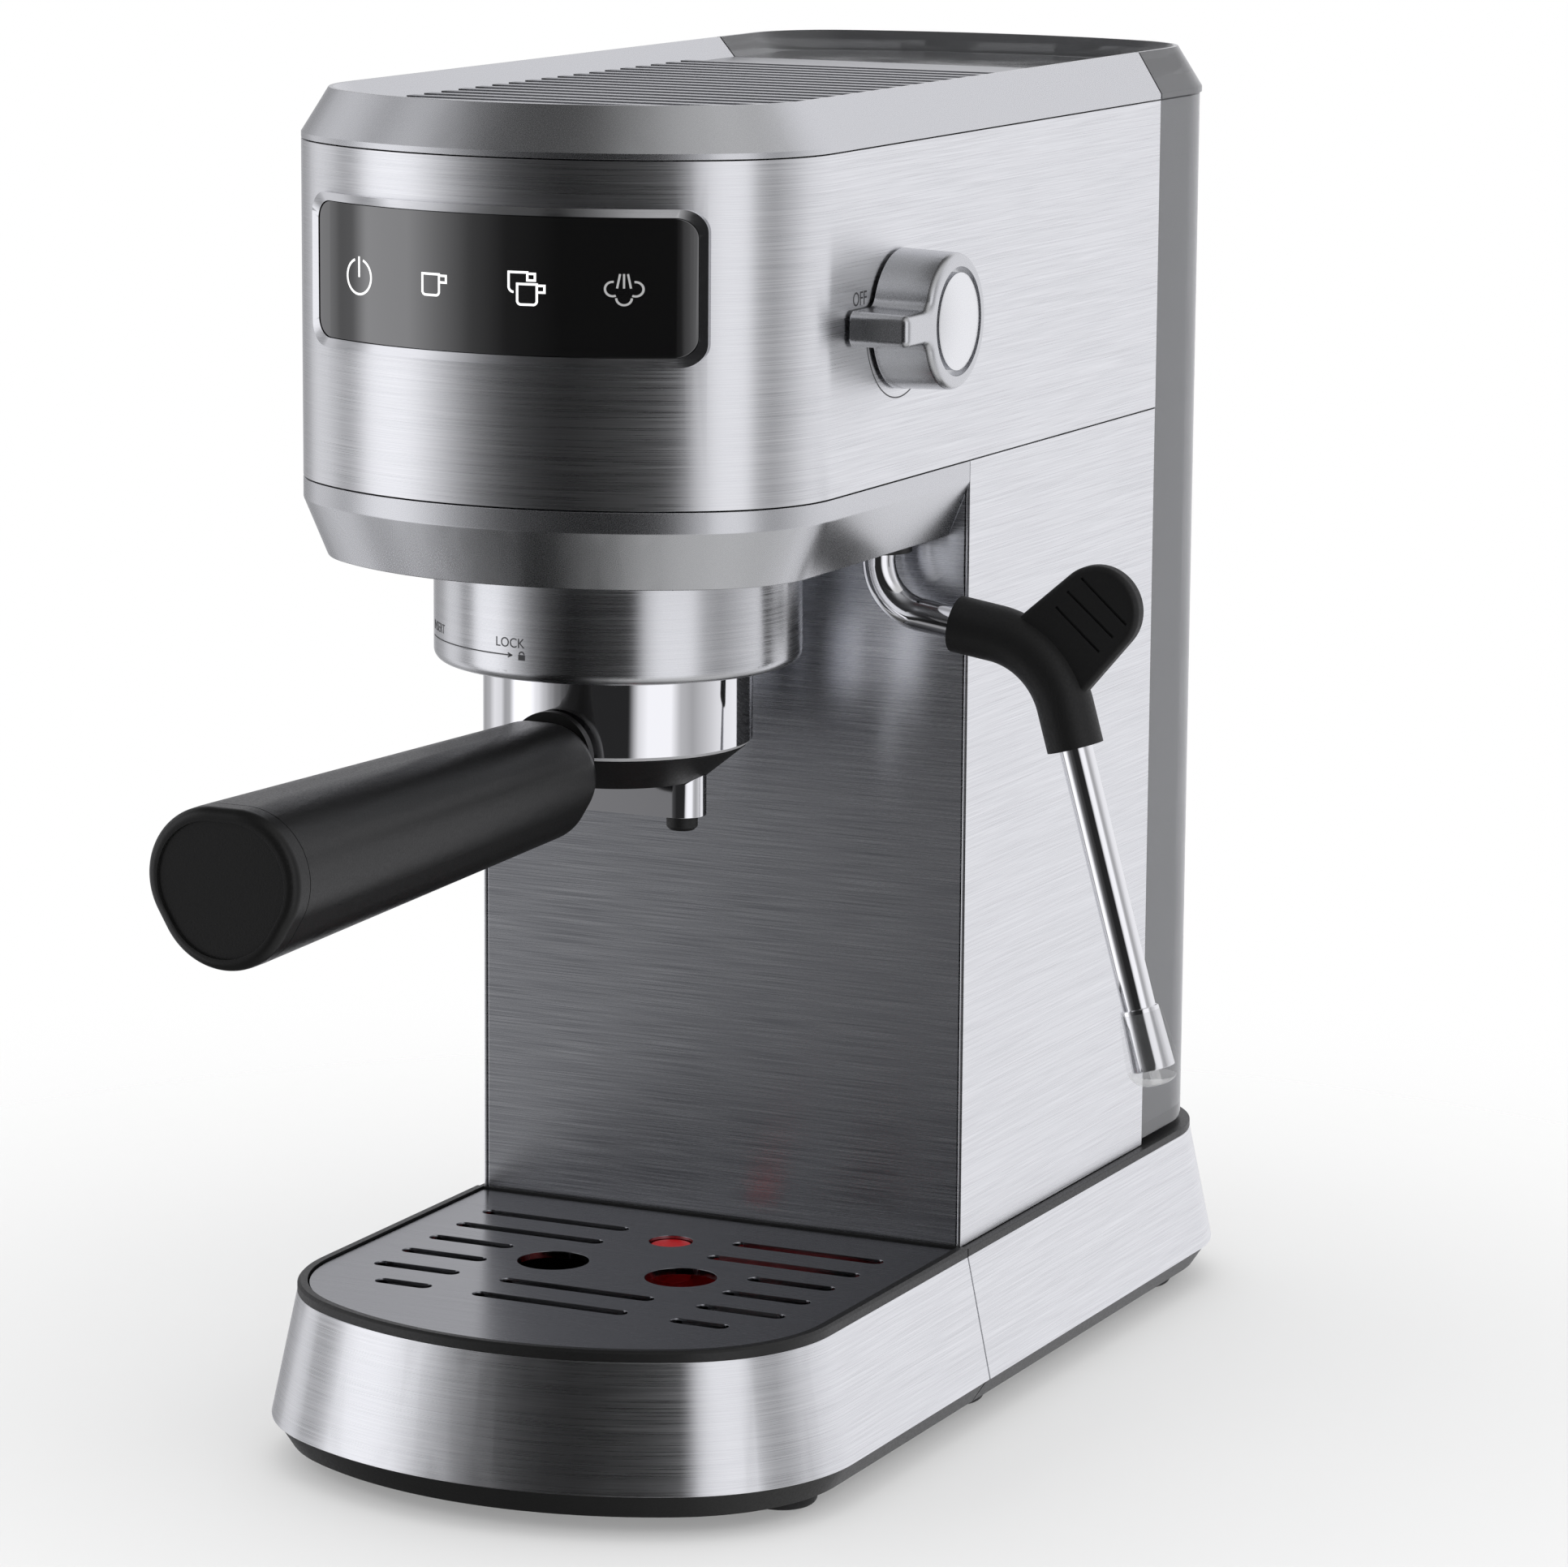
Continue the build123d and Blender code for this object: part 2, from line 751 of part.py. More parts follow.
with BuildPart() as inner_frame:
    with BuildSketch(Plane.XY.offset(deck_z + snug)):
        with Locations((0, frame_back - frame_wall / 2)):
            Rectangle(2 * frame_half_width, frame_wall)
        with Locations((frame_half_width - frame_wall / 2, frame_back - frame_flange / 2),
                       (frame_wall / 2 - frame_half_width, frame_back - frame_flange / 2)):
            Rectangle(frame_wall, frame_flange)
    extrude(amount=lid_seam_z - deck_z - 2 * snug)
    for z in shelf_z:
        with BuildSketch(Plane.XY.offset(z)):
            with Locations((0, (shelf_front + frame_back) / 2)):
                Rectangle(2 * frame_half_width, frame_back - shelf_front)
            with Locations((0, pump_y)):
                Circle(mount_radius + snug, mode=Mode.SUBTRACT)
            with Locations((shelf_window_x, pump_y), (-shelf_window_x, pump_y)):
                RectangleRounded(shelf_window_width, shelf_window_depth, shelf_window_corner,
                                 mode=Mode.SUBTRACT)
        extrude(amount=shelf_thickness)
    with BuildSketch(Plane.XZ.offset(-frame_front)):
        with Locations((0, control_board_z)):
            with GridLocations(control_board_width - 2 * standoff, control_board_height - 2 * standoff, 2,
                               2):
                Circle(standoff_radius)
    extrude(amount=standoff)

# Head: steel band, lower trim, lid with its ribbed cup tray

with BuildPart() as head_band:
    add(upright_block(body_half_width, head_front, panel_back, 0, head_seam_z + snug, lid_seam_z - snug))
    add(upright_block(body_half_width, head_front, panel_back + sheet, sheet, head_seam_z, lid_seam_z),
        mode=Mode.SUBTRACT)
    with BuildSketch(Plane.XZ.offset(-head_front[0])):
        with Locations((0, display_z)):
            RectangleRounded(window_width, window_height, bezel_corner)
    extrude(amount=-2 * bezel_depth, mode=Mode.SUBTRACT)
    with BuildSketch(Plane.YZ.offset(panel_inner)):
        with Locations((knob_y, knob_z)):
            Circle(spindle_radius + free_play)
    extrude(amount=sheet, mode=Mode.SUBTRACT)

with BuildPart() as head_trim:
    add(tapered_block(body_half_width, head_front, tray_end, (head_floor_z, trim_bevel), (trim_lip_z, 0)))
    add(upright_block(body_half_width, head_front, tray_end, 0, trim_lip_z, head_seam_z - snug))
    add(tapered_block(body_half_width, head_front, tray_end + trim_wall,
                      (head_floor_top, trim_bevel + trim_wall), (trim_lip_z, trim_wall)),
        mode=Mode.SUBTRACT)
    add(upright_block(body_half_width, head_front, tray_end + trim_wall, trim_wall, trim_lip_z,
                      head_seam_z), mode=Mode.SUBTRACT)
    add(round_bar(0, group_y, collar_radius + snug, head_floor_z, head_floor_top), mode=Mode.SUBTRACT)
    add(round_bar(wand_x, wand_y, socket_radius + snug, head_floor_z, head_floor_top), mode=Mode.SUBTRACT)


def lid_body(front, back, front_wall, back_wall, open_front, open_back):
    """A bevelled lid with the sunken tray in its top and a hollow underneath."""
    with BuildPart() as lid:
        add(upright_block(body_half_width, front, back, 0, lid_seam_z + snug, lid_lip_z))
        add(tapered_block(body_half_width, front, back, (lid_lip_z, 0), (lid_top_z, lid_bevel)))
        add(tapered_block(body_half_width, open_front, open_back,
                          (cup_tray_z, lid_bevel + lid_rim + tray_slope),
                          (lid_top_z, lid_bevel + lid_rim)), mode=Mode.SUBTRACT)
        add(tapered_block(body_half_width, front_wall, back_wall,
                          (lid_seam_z, lid_wall), (cup_tray_z - lid_wall, lid_wall + lid_draft)),
            mode=Mode.SUBTRACT)
    return lid.part


with BuildPart() as top_cover:
    add(lid_body(head_front, panel_back, head_front, panel_back - lid_wall, head_front,
                 panel_back + lid_wall))
    with BuildSketch(Plane.XY.offset(cup_tray_z)):
        with Locations((0, first_rib_y + rib_spacing * (rib_count - 1) / 2)):
            with GridLocations(0, rib_spacing, 1, rib_count):
                Rectangle(2 * body_half_width, rib_width)
        add(plan_face(body_half_width, head_front, panel_back,
                      lid_bevel + lid_rim + tray_slope + rib_margin), mode=Mode.INTERSECT)
    extrude(amount=rib_height)

# Display: bezel, glass and the board behind it

with BuildPart() as display_bezel:
    add(bowed_panel(bezel_width, bezel_height, bezel_corner, head_front[1] + running,
                    head_front[1] + bezel_proud))
    add(bowed_panel(window_width - 2 * snug, window_height - 2 * snug, bezel_corner,
                    head_front[1] - bezel_depth, head_front[1] + bezel_proud))
    add(bowed_panel(glass_width + 2 * snug, glass_height + 2 * snug, bezel_corner - bezel_lip,
                    head_front[1] - glass_thickness, head_front[1] + 2 * bezel_proud), mode=Mode.SUBTRACT)
    add(bowed_panel(window_width - 2 * bezel_neck_wall, window_height - 2 * bezel_neck_wall,
                    bezel_corner - bezel_neck_wall, head_front[1] - 2 * bezel_depth, head_front[1]),
        mode=Mode.SUBTRACT)

with BuildPart() as display_glass:
    add(bowed_panel(glass_width, glass_height, bezel_corner - bezel_lip,
                    head_front[1] - glass_thickness + running, head_front[1] + glass_proud))

with BuildPart() as display_board:
    with BuildSketch(Plane.XZ.offset(-display_board_y)):
        with Locations((0, display_z)):
            Rectangle(display_board_width, window_height)
    extrude(amount=-board_thickness)

# Steam knob, its cap and spindle, and the valve that it turns

knob_plane = Plane(origin=(0, knob_y, knob_z), x_dir=(1, 0, 0), z_dir=(0, -1, 0))
knob_axis = Axis((0, knob_y, knob_z), (1, 0, 0))

with BuildPart() as knob_blank:
    with BuildSketch(Plane.YZ) as knob_outline:
        Circle(knob_radius)
        Rectangle(lever_length, lever_thickness, align=(Align.MAX, Align.CENTER))
        fillet(knob_outline.vertices().group_by(Axis.X)[1], lever_root)
        fillet(knob_outline.vertices().group_by(Axis.X)[0], lever_corner)
    extrude(amount=knob_height, taper=knob_draft)
    fillet(knob_blank.faces().sort_by(Axis.X)[-1].edges(), knob_round)

with BuildPart() as knob_body:
    add(knob_blank.part.moved(Location((knob_start, knob_y, knob_z))))
    with BuildSketch(Plane.YZ.offset(knob_face - knob_recess)):
        with Locations((knob_y, knob_z)):
            Circle(knob_cap_radius + knob_groove)
    extrude(amount=knob_recess, mode=Mode.SUBTRACT)
    with BuildSketch(Plane.YZ.offset(knob_start)):
        with Locations((knob_y, knob_z)):
            Circle(spindle_radius + running)
    extrude(amount=spindle_end - knob_start, mode=Mode.SUBTRACT)

with BuildPart() as knob_cap:
    with BuildSketch(knob_plane):
        with BuildLine():
            cap_edge = Polyline((knob_face, knob_cap_radius), (knob_face - knob_recess + snug,
                                                               knob_cap_radius),
                                (knob_face - knob_recess + snug, 0), (knob_face + knob_dome, 0))
            ThreePointArc(cap_edge @ 1, (knob_face + knob_swell * knob_dome, knob_cap_radius / 2),
                          cap_edge @ 0)
        make_face()
    revolve(axis=knob_axis)

with BuildPart() as knob_spindle:
    with BuildSketch(Plane.YZ.offset(spindle_start)):
        with Locations((knob_y, knob_z)):
            Circle(spindle_radius)
    extrude(amount=spindle_end - snug - spindle_start)

with BuildPart() as steam_valve:
    with BuildSketch(Plane.YZ.offset(valve_start)):
        with Locations((knob_y, knob_z)):
            Circle(valve_radius)
    extrude(amount=valve_length - snug)
    with BuildSketch(Plane.YZ.offset(panel_inner - snug - valve_flange)):
        with Locations((knob_y, knob_z)):
            Circle(valve_flange_radius)
    extrude(amount=valve_flange)
    with BuildSketch(Plane.YZ.offset(spindle_start - snug)):
        with Locations((knob_y, knob_z)):
            Circle(spindle_radius + running)
    extrude(amount=valve_length, mode=Mode.SUBTRACT)

# Brew group: casting, collar, gasket and shower screen

with BuildPart() as brew_group:
    add(turned([(outlet_radius, group_top), (group_flange_radius, group_top),
                (group_flange_radius, head_floor_top), (casting_radius, head_floor_top),
                (casting_radius, casting_bottom), (throat_radius, casting_bottom),
                (throat_radius, lug_bottom - seam), (groove_radius, lug_bottom - seam),
                (groove_radius, lug_bottom + lug_height + seam),
                (throat_radius, lug_bottom + lug_height + seam), (throat_radius, gasket_top),
                (gasket_inner - snug, gasket_top), (gasket_inner - snug, chamber_z),
                (boss_radius, chamber_z), (boss_radius, screen_top + snug),
                (outlet_radius, screen_top + snug)]))
    for angle in (insert_angle, insert_angle + 180):
        add(turned([(throat_radius - seam, collar_bottom), (groove_radius - running, collar_bottom),
                    (groove_radius - running, lug_bottom + seam),
                    (throat_radius - seam, lug_bottom + seam)], angle=angle - lug_half_angle - lug_play,
                   arc=2 * (lug_half_angle + lug_play)), mode=Mode.SUBTRACT)

with BuildPart() as group_collar:
    add(turned([(throat_radius, collar_bottom), (collar_radius, collar_bottom),
                (collar_radius, head_floor_top - snug), (collar_inner, head_floor_top - snug),
                (collar_inner, collar_bottom + sheet), (throat_radius, collar_bottom + sheet)]))
    fillet(group_collar.edges().filter_by(GeomType.CIRCLE).group_by(Axis.Z)[0].sort_by(SortBy.RADIUS)[-1],
           collar_round)
    for angle in (insert_angle, insert_angle + 180):
        add(turned([(throat_radius - seam, collar_bottom - sheet), (groove_radius, collar_bottom - sheet),
                    (groove_radius, collar_bottom + 2 * sheet),
                    (throat_radius - seam, collar_bottom + 2 * sheet)],
                   angle=angle - lug_half_angle - lug_play, arc=2 * (lug_half_angle + lug_play)),
            mode=Mode.SUBTRACT)

with BuildPart() as group_gasket:
    add(turned([(gasket_inner, gasket_bottom), (gasket_outer, gasket_bottom),
                (gasket_outer, gasket_top - snug), (gasket_inner, gasket_top - snug)]))

with BuildPart() as shower_screen:
    add(round_bar(0, group_y, screen_radius, screen_top - screen_thickness, screen_top))
    with BuildSketch(Plane.XY.offset(screen_top - screen_thickness)):
        with Locations((0, group_y)):
            for ring in range(1, screen_ring_count + 1):
                with PolarLocations(boss_radius + ring * screen_ring_spacing,
                                    screen_holes_per_ring * ring):
                    Circle(screen_hole_radius)
    extrude(amount=screen_thickness, mode=Mode.SUBTRACT)

# Portafilter: bowl with its lugs, basket, spring, underside, spout and handle

with BuildPart() as portafilter_bowl:
    add(turned([(outlet_radius, bowl_bottom), (bowl_radius - bowl_ease, bowl_bottom),
                (bowl_radius, bowl_bottom + bowl_ease), (bowl_radius, bowl_rim_z),
                (bowl_radius - bowl_wall, bowl_rim_z), (bowl_radius - bowl_wall,
                                                        bowl_bottom + bowl_floor),
                (outlet_radius, bowl_bottom + bowl_floor)]))
    for angle in (0, 180):
        add(turned([(bowl_radius - bowl_wall / 2, lug_bottom), (lug_radius, lug_bottom),
                    (lug_radius, lug_bottom + lug_height), (bowl_radius - bowl_wall / 2,
                                                            lug_bottom + lug_height)],
                   angle=angle - lug_half_angle, arc=2 * lug_half_angle))
    with BuildSketch(Plane.XZ.offset(stub_start)):
        with Locations((0, stub_z)):
            Circle(stub_radius)
    extrude(amount=-handle_start + stub_depth - stub_start)


def underside_cone(drop):
    """The dish under the bowl, lowered by drop."""
    return turned([(outlet_radius, underside_bottom - drop),
                   (bowl_radius - underside_slope, underside_bottom - drop),
                   (bowl_radius - bowl_ease, bowl_bottom - snug - drop),
                   (outlet_radius, bowl_bottom - snug - drop)])


with BuildPart() as portafilter_underside:
    add(underside_cone(0))

with BuildPart() as filter_basket:
    add(turned([(0, basket_bottom), (basket_radius - basket_ease, basket_bottom),
                (basket_radius, basket_bottom + basket_ease), (basket_radius, bowl_rim_z),
                (bowl_radius - basket_wall, bowl_rim_z), (bowl_radius - basket_wall,
                                                          bowl_rim_z + basket_flange),
                (basket_radius - basket_wall, bowl_rim_z + basket_flange),
                (basket_radius - basket_wall, basket_bottom + basket_ease),
                (basket_radius - basket_ease, basket_bottom + basket_wall),
                (0, basket_bottom + basket_wall)]))

with BuildPart() as basket_spring:
    with BuildSketch(radial_plane(0)):
        with Locations((basket_radius + spring_wire + running, lug_bottom)):
            Circle(spring_wire)
    revolve(axis=group_axis, revolution_arc=spring_arc)

with BuildPart() as twin_spout:
    with BuildSketch(Plane.XY.offset(spout_bottom)):
        with Locations((0, group_y)):
            SlotOverall(2 * (spout_x + spout_radius), 2 * spout_radius)
        with Locations((spout_x, group_y), (-spout_x, group_y)):
            Circle(tip_bore, mode=Mode.SUBTRACT)
    extrude(amount=spout_height + underside_depth / 2)
    add(underside_cone(running), mode=Mode.SUBTRACT)

with BuildPart() as spout_tips:
    for x in (-spout_x, spout_x):
        add(round_bar(x, group_y, tip_radius, spout_bottom - tip_length, spout_bottom - running))
        add(round_bar(x, group_y, tip_bore, spout_bottom - tip_length, spout_bottom), mode=Mode.SUBTRACT)
    chamfer(spout_tips.edges().group_by(Axis.Z)[0].filter_by(lambda edge: edge.radius > tip_bore),
            tip_ease)

with BuildPart() as handle_grip:
    for y, scale in ((handle_start, handle_taper), (handle_cap_start, 1.0)):
        with BuildSketch(Plane.XZ.offset(-y)):
            with Locations((0, handle_z)):
                add(handle_section(scale))
    loft(ruled=True)
    fillet(handle_grip.faces().sort_by(Axis.Y)[-1].edges(), handle_root_round)
    with BuildSketch(Plane.XZ.offset(-handle_start)):
        with Locations((0, stub_z)):
            Circle(stub_radius + snug)
    extrude(amount=stub_depth + snug, mode=Mode.SUBTRACT)
    with BuildSketch(Plane.XZ.offset(-handle_start)):
        with Locations((0, stub_z)):
            Circle(neck_radius)
            Circle(stub_radius + snug, mode=Mode.SUBTRACT)
    extrude(amount=-neck_length)

with BuildPart() as handle_cap:
    with BuildSketch(Plane.XZ.offset(-handle_cap_start + snug)):
        with Locations((0, handle_z)):
            add(handle_section(1.0))
    extrude(amount=handle_cap_start - snug - handle_end)
    fillet(handle_cap.faces().sort_by(Axis.Y)[0].edges(), handle_round)
    with BuildSketch(Plane.XZ.offset(-handle_end)):
        with Locations((0, handle_z)):
            add(handle_section(handle_disc))
    extrude(amount=-handle_disc_sink, mode=Mode.SUBTRACT)

# Steam wand: pipe, grip with its paddle, nozzle and tip, and the socket that it turns in

wand_plane = Plane(origin=(0, wand_y, 0), x_dir=(1, 0, 0), z_dir=(0, -1, 0))
wand_run = Vector(wand_end[0] - wand_elbow[0], wand_end[1] - wand_elbow[1]).normalized()
wand_arm = Vector(wand_elbow[0] - wand_x, wand_elbow[1] - wand_knee_z).normalized()


def along_run(distance):
    """A point in the wand's plane, at a distance below the start of the nozzle."""
    return (wand_end[0] + wand_run.X * distance, wand_end[1] + wand_run.Y * distance)


def in_wand_plane(point):
    """A point of the wand's plane, in space."""
    return (point[0], wand_y, point[1])


wand_axis = Axis(in_wand_plane(wand_end), (wand_run.X, 0, wand_run.Y))
nozzle_plane = Plane(origin=in_wand_plane(wand_end), x_dir=(wand_run.X, 0, wand_run.Y), z_dir=(0, -1, 0))

with BuildPart() as wand_pipe:
    add(pipe([(wand_x, wand_y, wand_top), (wand_x, wand_y, wand_knee_z), in_wand_plane(wand_elbow),
              in_wand_plane(along_run(pipe_overlap))], [wand_knee_radius, wand_elbow_radius],
             wand_pipe_radius, wand_bore))
    add(turned([(wand_bore, swivel_z), (swivel_collar_radius, swivel_z), (swivel_collar_radius, wand_top),
                (wand_bore, wand_top)], x=wand_x, y=wand_y))

with BuildPart() as wand_grip:
    with BuildSketch(wand_plane):
        with Locations(paddle_centre):
            Circle(paddle_radius)
        for way, reach in ((wand_arm, -paddle_arm_foot), (wand_run, paddle_run_foot)):
            with Locations((wand_elbow[0] + way.X * reach, wand_elbow[1] + way.Y * reach)):
                Circle(paddle_foot_radius)
        make_hull()
    extrude(amount=paddle_thickness / 2, both=True)
    fillet(wand_grip.edges().filter_by(Plane.XZ), paddle_round)
    grip_ends = [(wand_elbow[0] - wand_arm.X * grip_reach, wand_elbow[1] - wand_arm.Y * grip_reach),
                 wand_elbow, (wand_elbow[0] + wand_run.X * grip_reach,
                              wand_elbow[1] + wand_run.Y * grip_reach)]
    grip_route = [in_wand_plane(point) for point in grip_ends]
    add(pipe(grip_route, [wand_elbow_radius], grip_radius, 0))
    add(pipe(grip_route, [wand_elbow_radius], wand_pipe_radius + running, 0), mode=Mode.SUBTRACT)

with BuildPart() as wand_nozzle:
    with BuildSketch(nozzle_plane):
        with BuildLine():
            Polyline((0, wand_pipe_radius + running), (0, nozzle_neck_radius),
                     (nozzle_length, nozzle_radius), (nozzle_length, wand_bore),
                     (pipe_overlap + snug, wand_bore), (pipe_overlap + snug, wand_pipe_radius + running),
                     close=True)
        make_face()
    revolve(axis=wand_axis)

# The tip is a clear sleeve that swells over the nozzle and closes in a rounded end
with BuildPart() as wand_tip:
    with BuildSketch(nozzle_plane):
        with BuildLine():
            sleeve_side = Polyline((sleeve_start, sleeve_mouth),
                                   (sleeve_start, sleeve_mouth + sleeve_wall),
                                   (sleeve_full, sleeve_radius), (nozzle_length, sleeve_radius))
            sleeve_crown = ThreePointArc(sleeve_side @ 1, (nozzle_length + sleeve_bulge * sleeve_end,
                                                           sleeve_bulge * sleeve_radius),
                                         (nozzle_length + sleeve_end, sleeve_hole))
            Polyline(sleeve_crown @ 1, (nozzle_length + running, sleeve_hole),
                     (nozzle_length + running, nozzle_radius + running), sleeve_side @ 0)
        make_face()
    revolve(axis=wand_axis)

with BuildPart() as wand_socket:
    add(turned([(wand_pipe_radius + running, socket_bottom), (socket_radius, socket_bottom),
                (socket_radius, head_floor_top), (socket_flange_radius, head_floor_top),
                (socket_flange_radius, head_floor_top + socket_flange),
                (socket_radius, head_floor_top + socket_flange), (socket_radius, socket_top),
                (pipe_bore, socket_top), (pipe_bore, wand_top + seam),
                (swivel_collar_radius + seam, wand_top + seam),
                (swivel_collar_radius + seam, swivel_z - seam),
                (wand_pipe_radius + running, swivel_z - seam)], x=wand_x, y=wand_y))

# Water tank, its valve and its hinged lid

with BuildPart() as tank_shell:
    add(upright_block(body_half_width, tank_front, tank_back, tank_inset, tank_bottom, tank_top))
    add(upright_block(body_half_width, tank_front + tank_wall, tank_back, tank_inset + tank_wall,
                      tank_inside_z, tank_top), mode=Mode.SUBTRACT)
    for side in (-1, 1):
        with BuildSketch(Plane.YZ.offset(side * hinge_x[0])):
            with BuildLine():
                Polyline((hinge_y - hinge_web, tank_top), (hinge_y - hinge_web,
                                                           tank_top - hinge_web_drop),
                         (hinge_y - hinge_web + hinge_web_foot, tank_top - hinge_web_drop),
                         (hinge_y + hinge_radius, hinge_z - hinge_radius),
                         (hinge_y + hinge_radius, tank_top), close=True)
            make_face()
            with Locations((hinge_y, hinge_z)):
                Circle(hinge_radius)
        extrude(amount=side * (hinge_x[1] - hinge_x[0]))
        with BuildSketch(Plane.YZ.offset(side * hinge_x[1])):
            with Locations((hinge_y, hinge_z)):
                Circle(hinge_pin_radius + running)
        extrude(amount=-side * (hinge_pin_length + seam), mode=Mode.SUBTRACT)
    add(round_bar(0, valve_y, nozzle_r + snug, tank_bottom, tank_bottom + tank_floor), mode=Mode.SUBTRACT)

with BuildPart() as tank_valve:
    add(turned([(valve_bore, tank_bottom - nozzle_drop), (nozzle_r, tank_bottom - nozzle_drop),
                (nozzle_r, tank_inside_z), (tank_valve_flange, tank_inside_z),
                (tank_valve_flange, tank_inside_z + valve_flange),
                (strainer_radius, tank_inside_z + valve_flange),
                (strainer_radius, tank_inside_z + strainer_height),
                (valve_bore, tank_inside_z + strainer_height)], y=valve_y))

with BuildPart() as tank_lid:
    add(lid_body(tank_front, tank_back, tank_front + lid_wall, tank_back, tank_front - lid_wall,
                 tank_back))
    for side in (-1, 1):
        with BuildSketch(Plane.YZ.offset(side * (hinge_x[0] - hinge_play))):
            with Locations((hinge_y, hinge_z)):
                Circle(hinge_radius + hinge_play)
        extrude(amount=side * (hinge_x[1] - hinge_x[0] + 2 * hinge_play), mode=Mode.SUBTRACT)
        knuckle_plane = Plane.YZ.offset(side * (hinge_x[1] + hinge_play))
        with BuildSketch(knuckle_plane):
            with Locations((hinge_y, hinge_z)):
                Circle(hinge_radius)
            with Locations((hinge_y, lid_seam_z + snug)):
                Rectangle(knuckle_web, hinge_radius, align=(Align.MAX, Align.MIN))
        extrude(amount=side * knuckle_width)
        with BuildSketch(knuckle_plane):
            with Locations((hinge_y, hinge_z)):
                Circle(hinge_pin_radius)
        extrude(amount=-side * (hinge_pin_length + hinge_play))

with BuildPart() as tank_socket:
    add(turned([(pipe_bore, nipple_bottom), (nipple_radius, nipple_bottom),
                (nipple_radius, socket_cup_bottom), (socket_outer, socket_cup_bottom),
                (socket_outer, deck_z - deck_thickness - valve_flange - snug),
                (socket_rim, deck_z - deck_thickness - valve_flange - snug),
                (socket_rim, deck_z - deck_thickness - snug), (socket_outer,
                                                               deck_z - deck_thickness - snug),
                (socket_outer, deck_z), (socket_bore, deck_z),
                (socket_bore, socket_cup_bottom + socket_wall),
                (pipe_bore, socket_cup_bottom + socket_wall)], y=valve_y))

with BuildPart() as socket_seal:
    add(turned([(nozzle_r + seam, socket_cup_bottom + socket_wall),
                (socket_bore - running, socket_cup_bottom + socket_wall),
                (socket_bore - running, deck_z - seam), (nozzle_r + seam, deck_z - seam)], y=valve_y))

# Water path: pump on rubber mounts, hoses, boiler and steam pipes

with BuildPart() as pump_body:
    add(turned([(pipe_bore, pump_bottom - nipple_length), (nipple_radius, pump_bottom - nipple_length),
                (nipple_radius, pump_bottom), (pump_radius, pump_bottom), (pump_radius, pump_top),
                (nipple_radius, pump_top), (nipple_radius, pump_top + nipple_length),
                (pipe_bore, pump_top + nipple_length)], y=pump_y))

with BuildPart() as pump_coil:
    with BuildSketch(Plane.XY.offset(coil_bottom)):
        with Locations((0, pump_y)):
            RectangleRounded(coil_width, coil_width, coil_corner)
            Circle(pump_radius + snug, mode=Mode.SUBTRACT)
    extrude(amount=coil_height)

with BuildPart() as pump_mounts:
    for z in shelf_z:
        add(turned([(pump_radius + snug, z), (mount_radius, z),
                    (mount_radius, z + shelf_thickness + snug),
                    (mount_radius + mount_flange, z + shelf_thickness + snug),
                    (mount_radius + mount_flange, z + shelf_thickness + mount_flange),
                    (pump_radius + snug, z + shelf_thickness + mount_flange)], y=pump_y))

with BuildPart() as inlet_hose:
    add(pipe([(0, valve_y, socket_cup_bottom - snug), (0, valve_y, hose_z), (0, pump_y, hose_z),
              (0, pump_y, pump_bottom - snug)], hose_bend, hose_radius, nipple_radius + snug))

with BuildPart() as pump_hose:
    add(pipe([(0, pump_y, pump_top + snug), (0, pump_y, pump_line_z),
              (0, boiler_back + snug, pump_line_z)], hose_bend, hose_radius, nipple_radius + snug))

with BuildPart() as boiler_lower:
    add(turned([(outlet_radius, group_top), (boiler_radius, group_top),
                (boiler_radius, boiler_joint_z - boiler_flange),
                (boiler_flange_radius, boiler_joint_z - boiler_flange),
                (boiler_flange_radius, boiler_joint_z), (boiler_radius - boiler_wall, boiler_joint_z),
                (boiler_radius - boiler_wall, group_top + boiler_wall),
                (outlet_radius, group_top + boiler_wall)]))
    with BuildSketch(Plane.XY.offset(boiler_joint_z - boiler_flange)):
        with Locations((0, group_y)):
            with PolarLocations(bolt_circle, boiler_bolt_count):
                Circle(boiler_bolt_radius + running)
    extrude(amount=boiler_flange, mode=Mode.SUBTRACT)

with BuildPart() as boiler_gasket:
    add(turned([(boiler_radius - boiler_wall, boiler_joint_z), (boiler_radius, boiler_joint_z),
                (boiler_radius, boiler_joint_z + joint_gasket),
                (boiler_radius - boiler_wall, boiler_joint_z + joint_gasket)]))

with BuildPart() as boiler_upper:
    add(turned([(0, boiler_top), (boiler_radius, boiler_top), (boiler_radius,
                                                               upper_flange_z + boiler_flange),
                (boiler_flange_radius, upper_flange_z + boiler_flange),
                (boiler_flange_radius, upper_flange_z), (boiler_radius - boiler_wall, upper_flange_z),
                (boiler_radius - boiler_wall, boiler_top - boiler_wall), (0, boiler_top - boiler_wall)]))
    with BuildSketch(Plane.XY.offset(upper_flange_z)):
        with Locations((0, group_y)):
            with PolarLocations(bolt_circle, boiler_bolt_count):
                Circle(boiler_bolt_radius + running)
    extrude(amount=boiler_flange, mode=Mode.SUBTRACT)
    with BuildSketch(Plane.XZ.offset(-boiler_back - nipple_length)):
        with Locations((0, pump_line_z)):
            Circle(nipple_radius)
    extrude(amount=nipple_length + boiler_wall / 2)

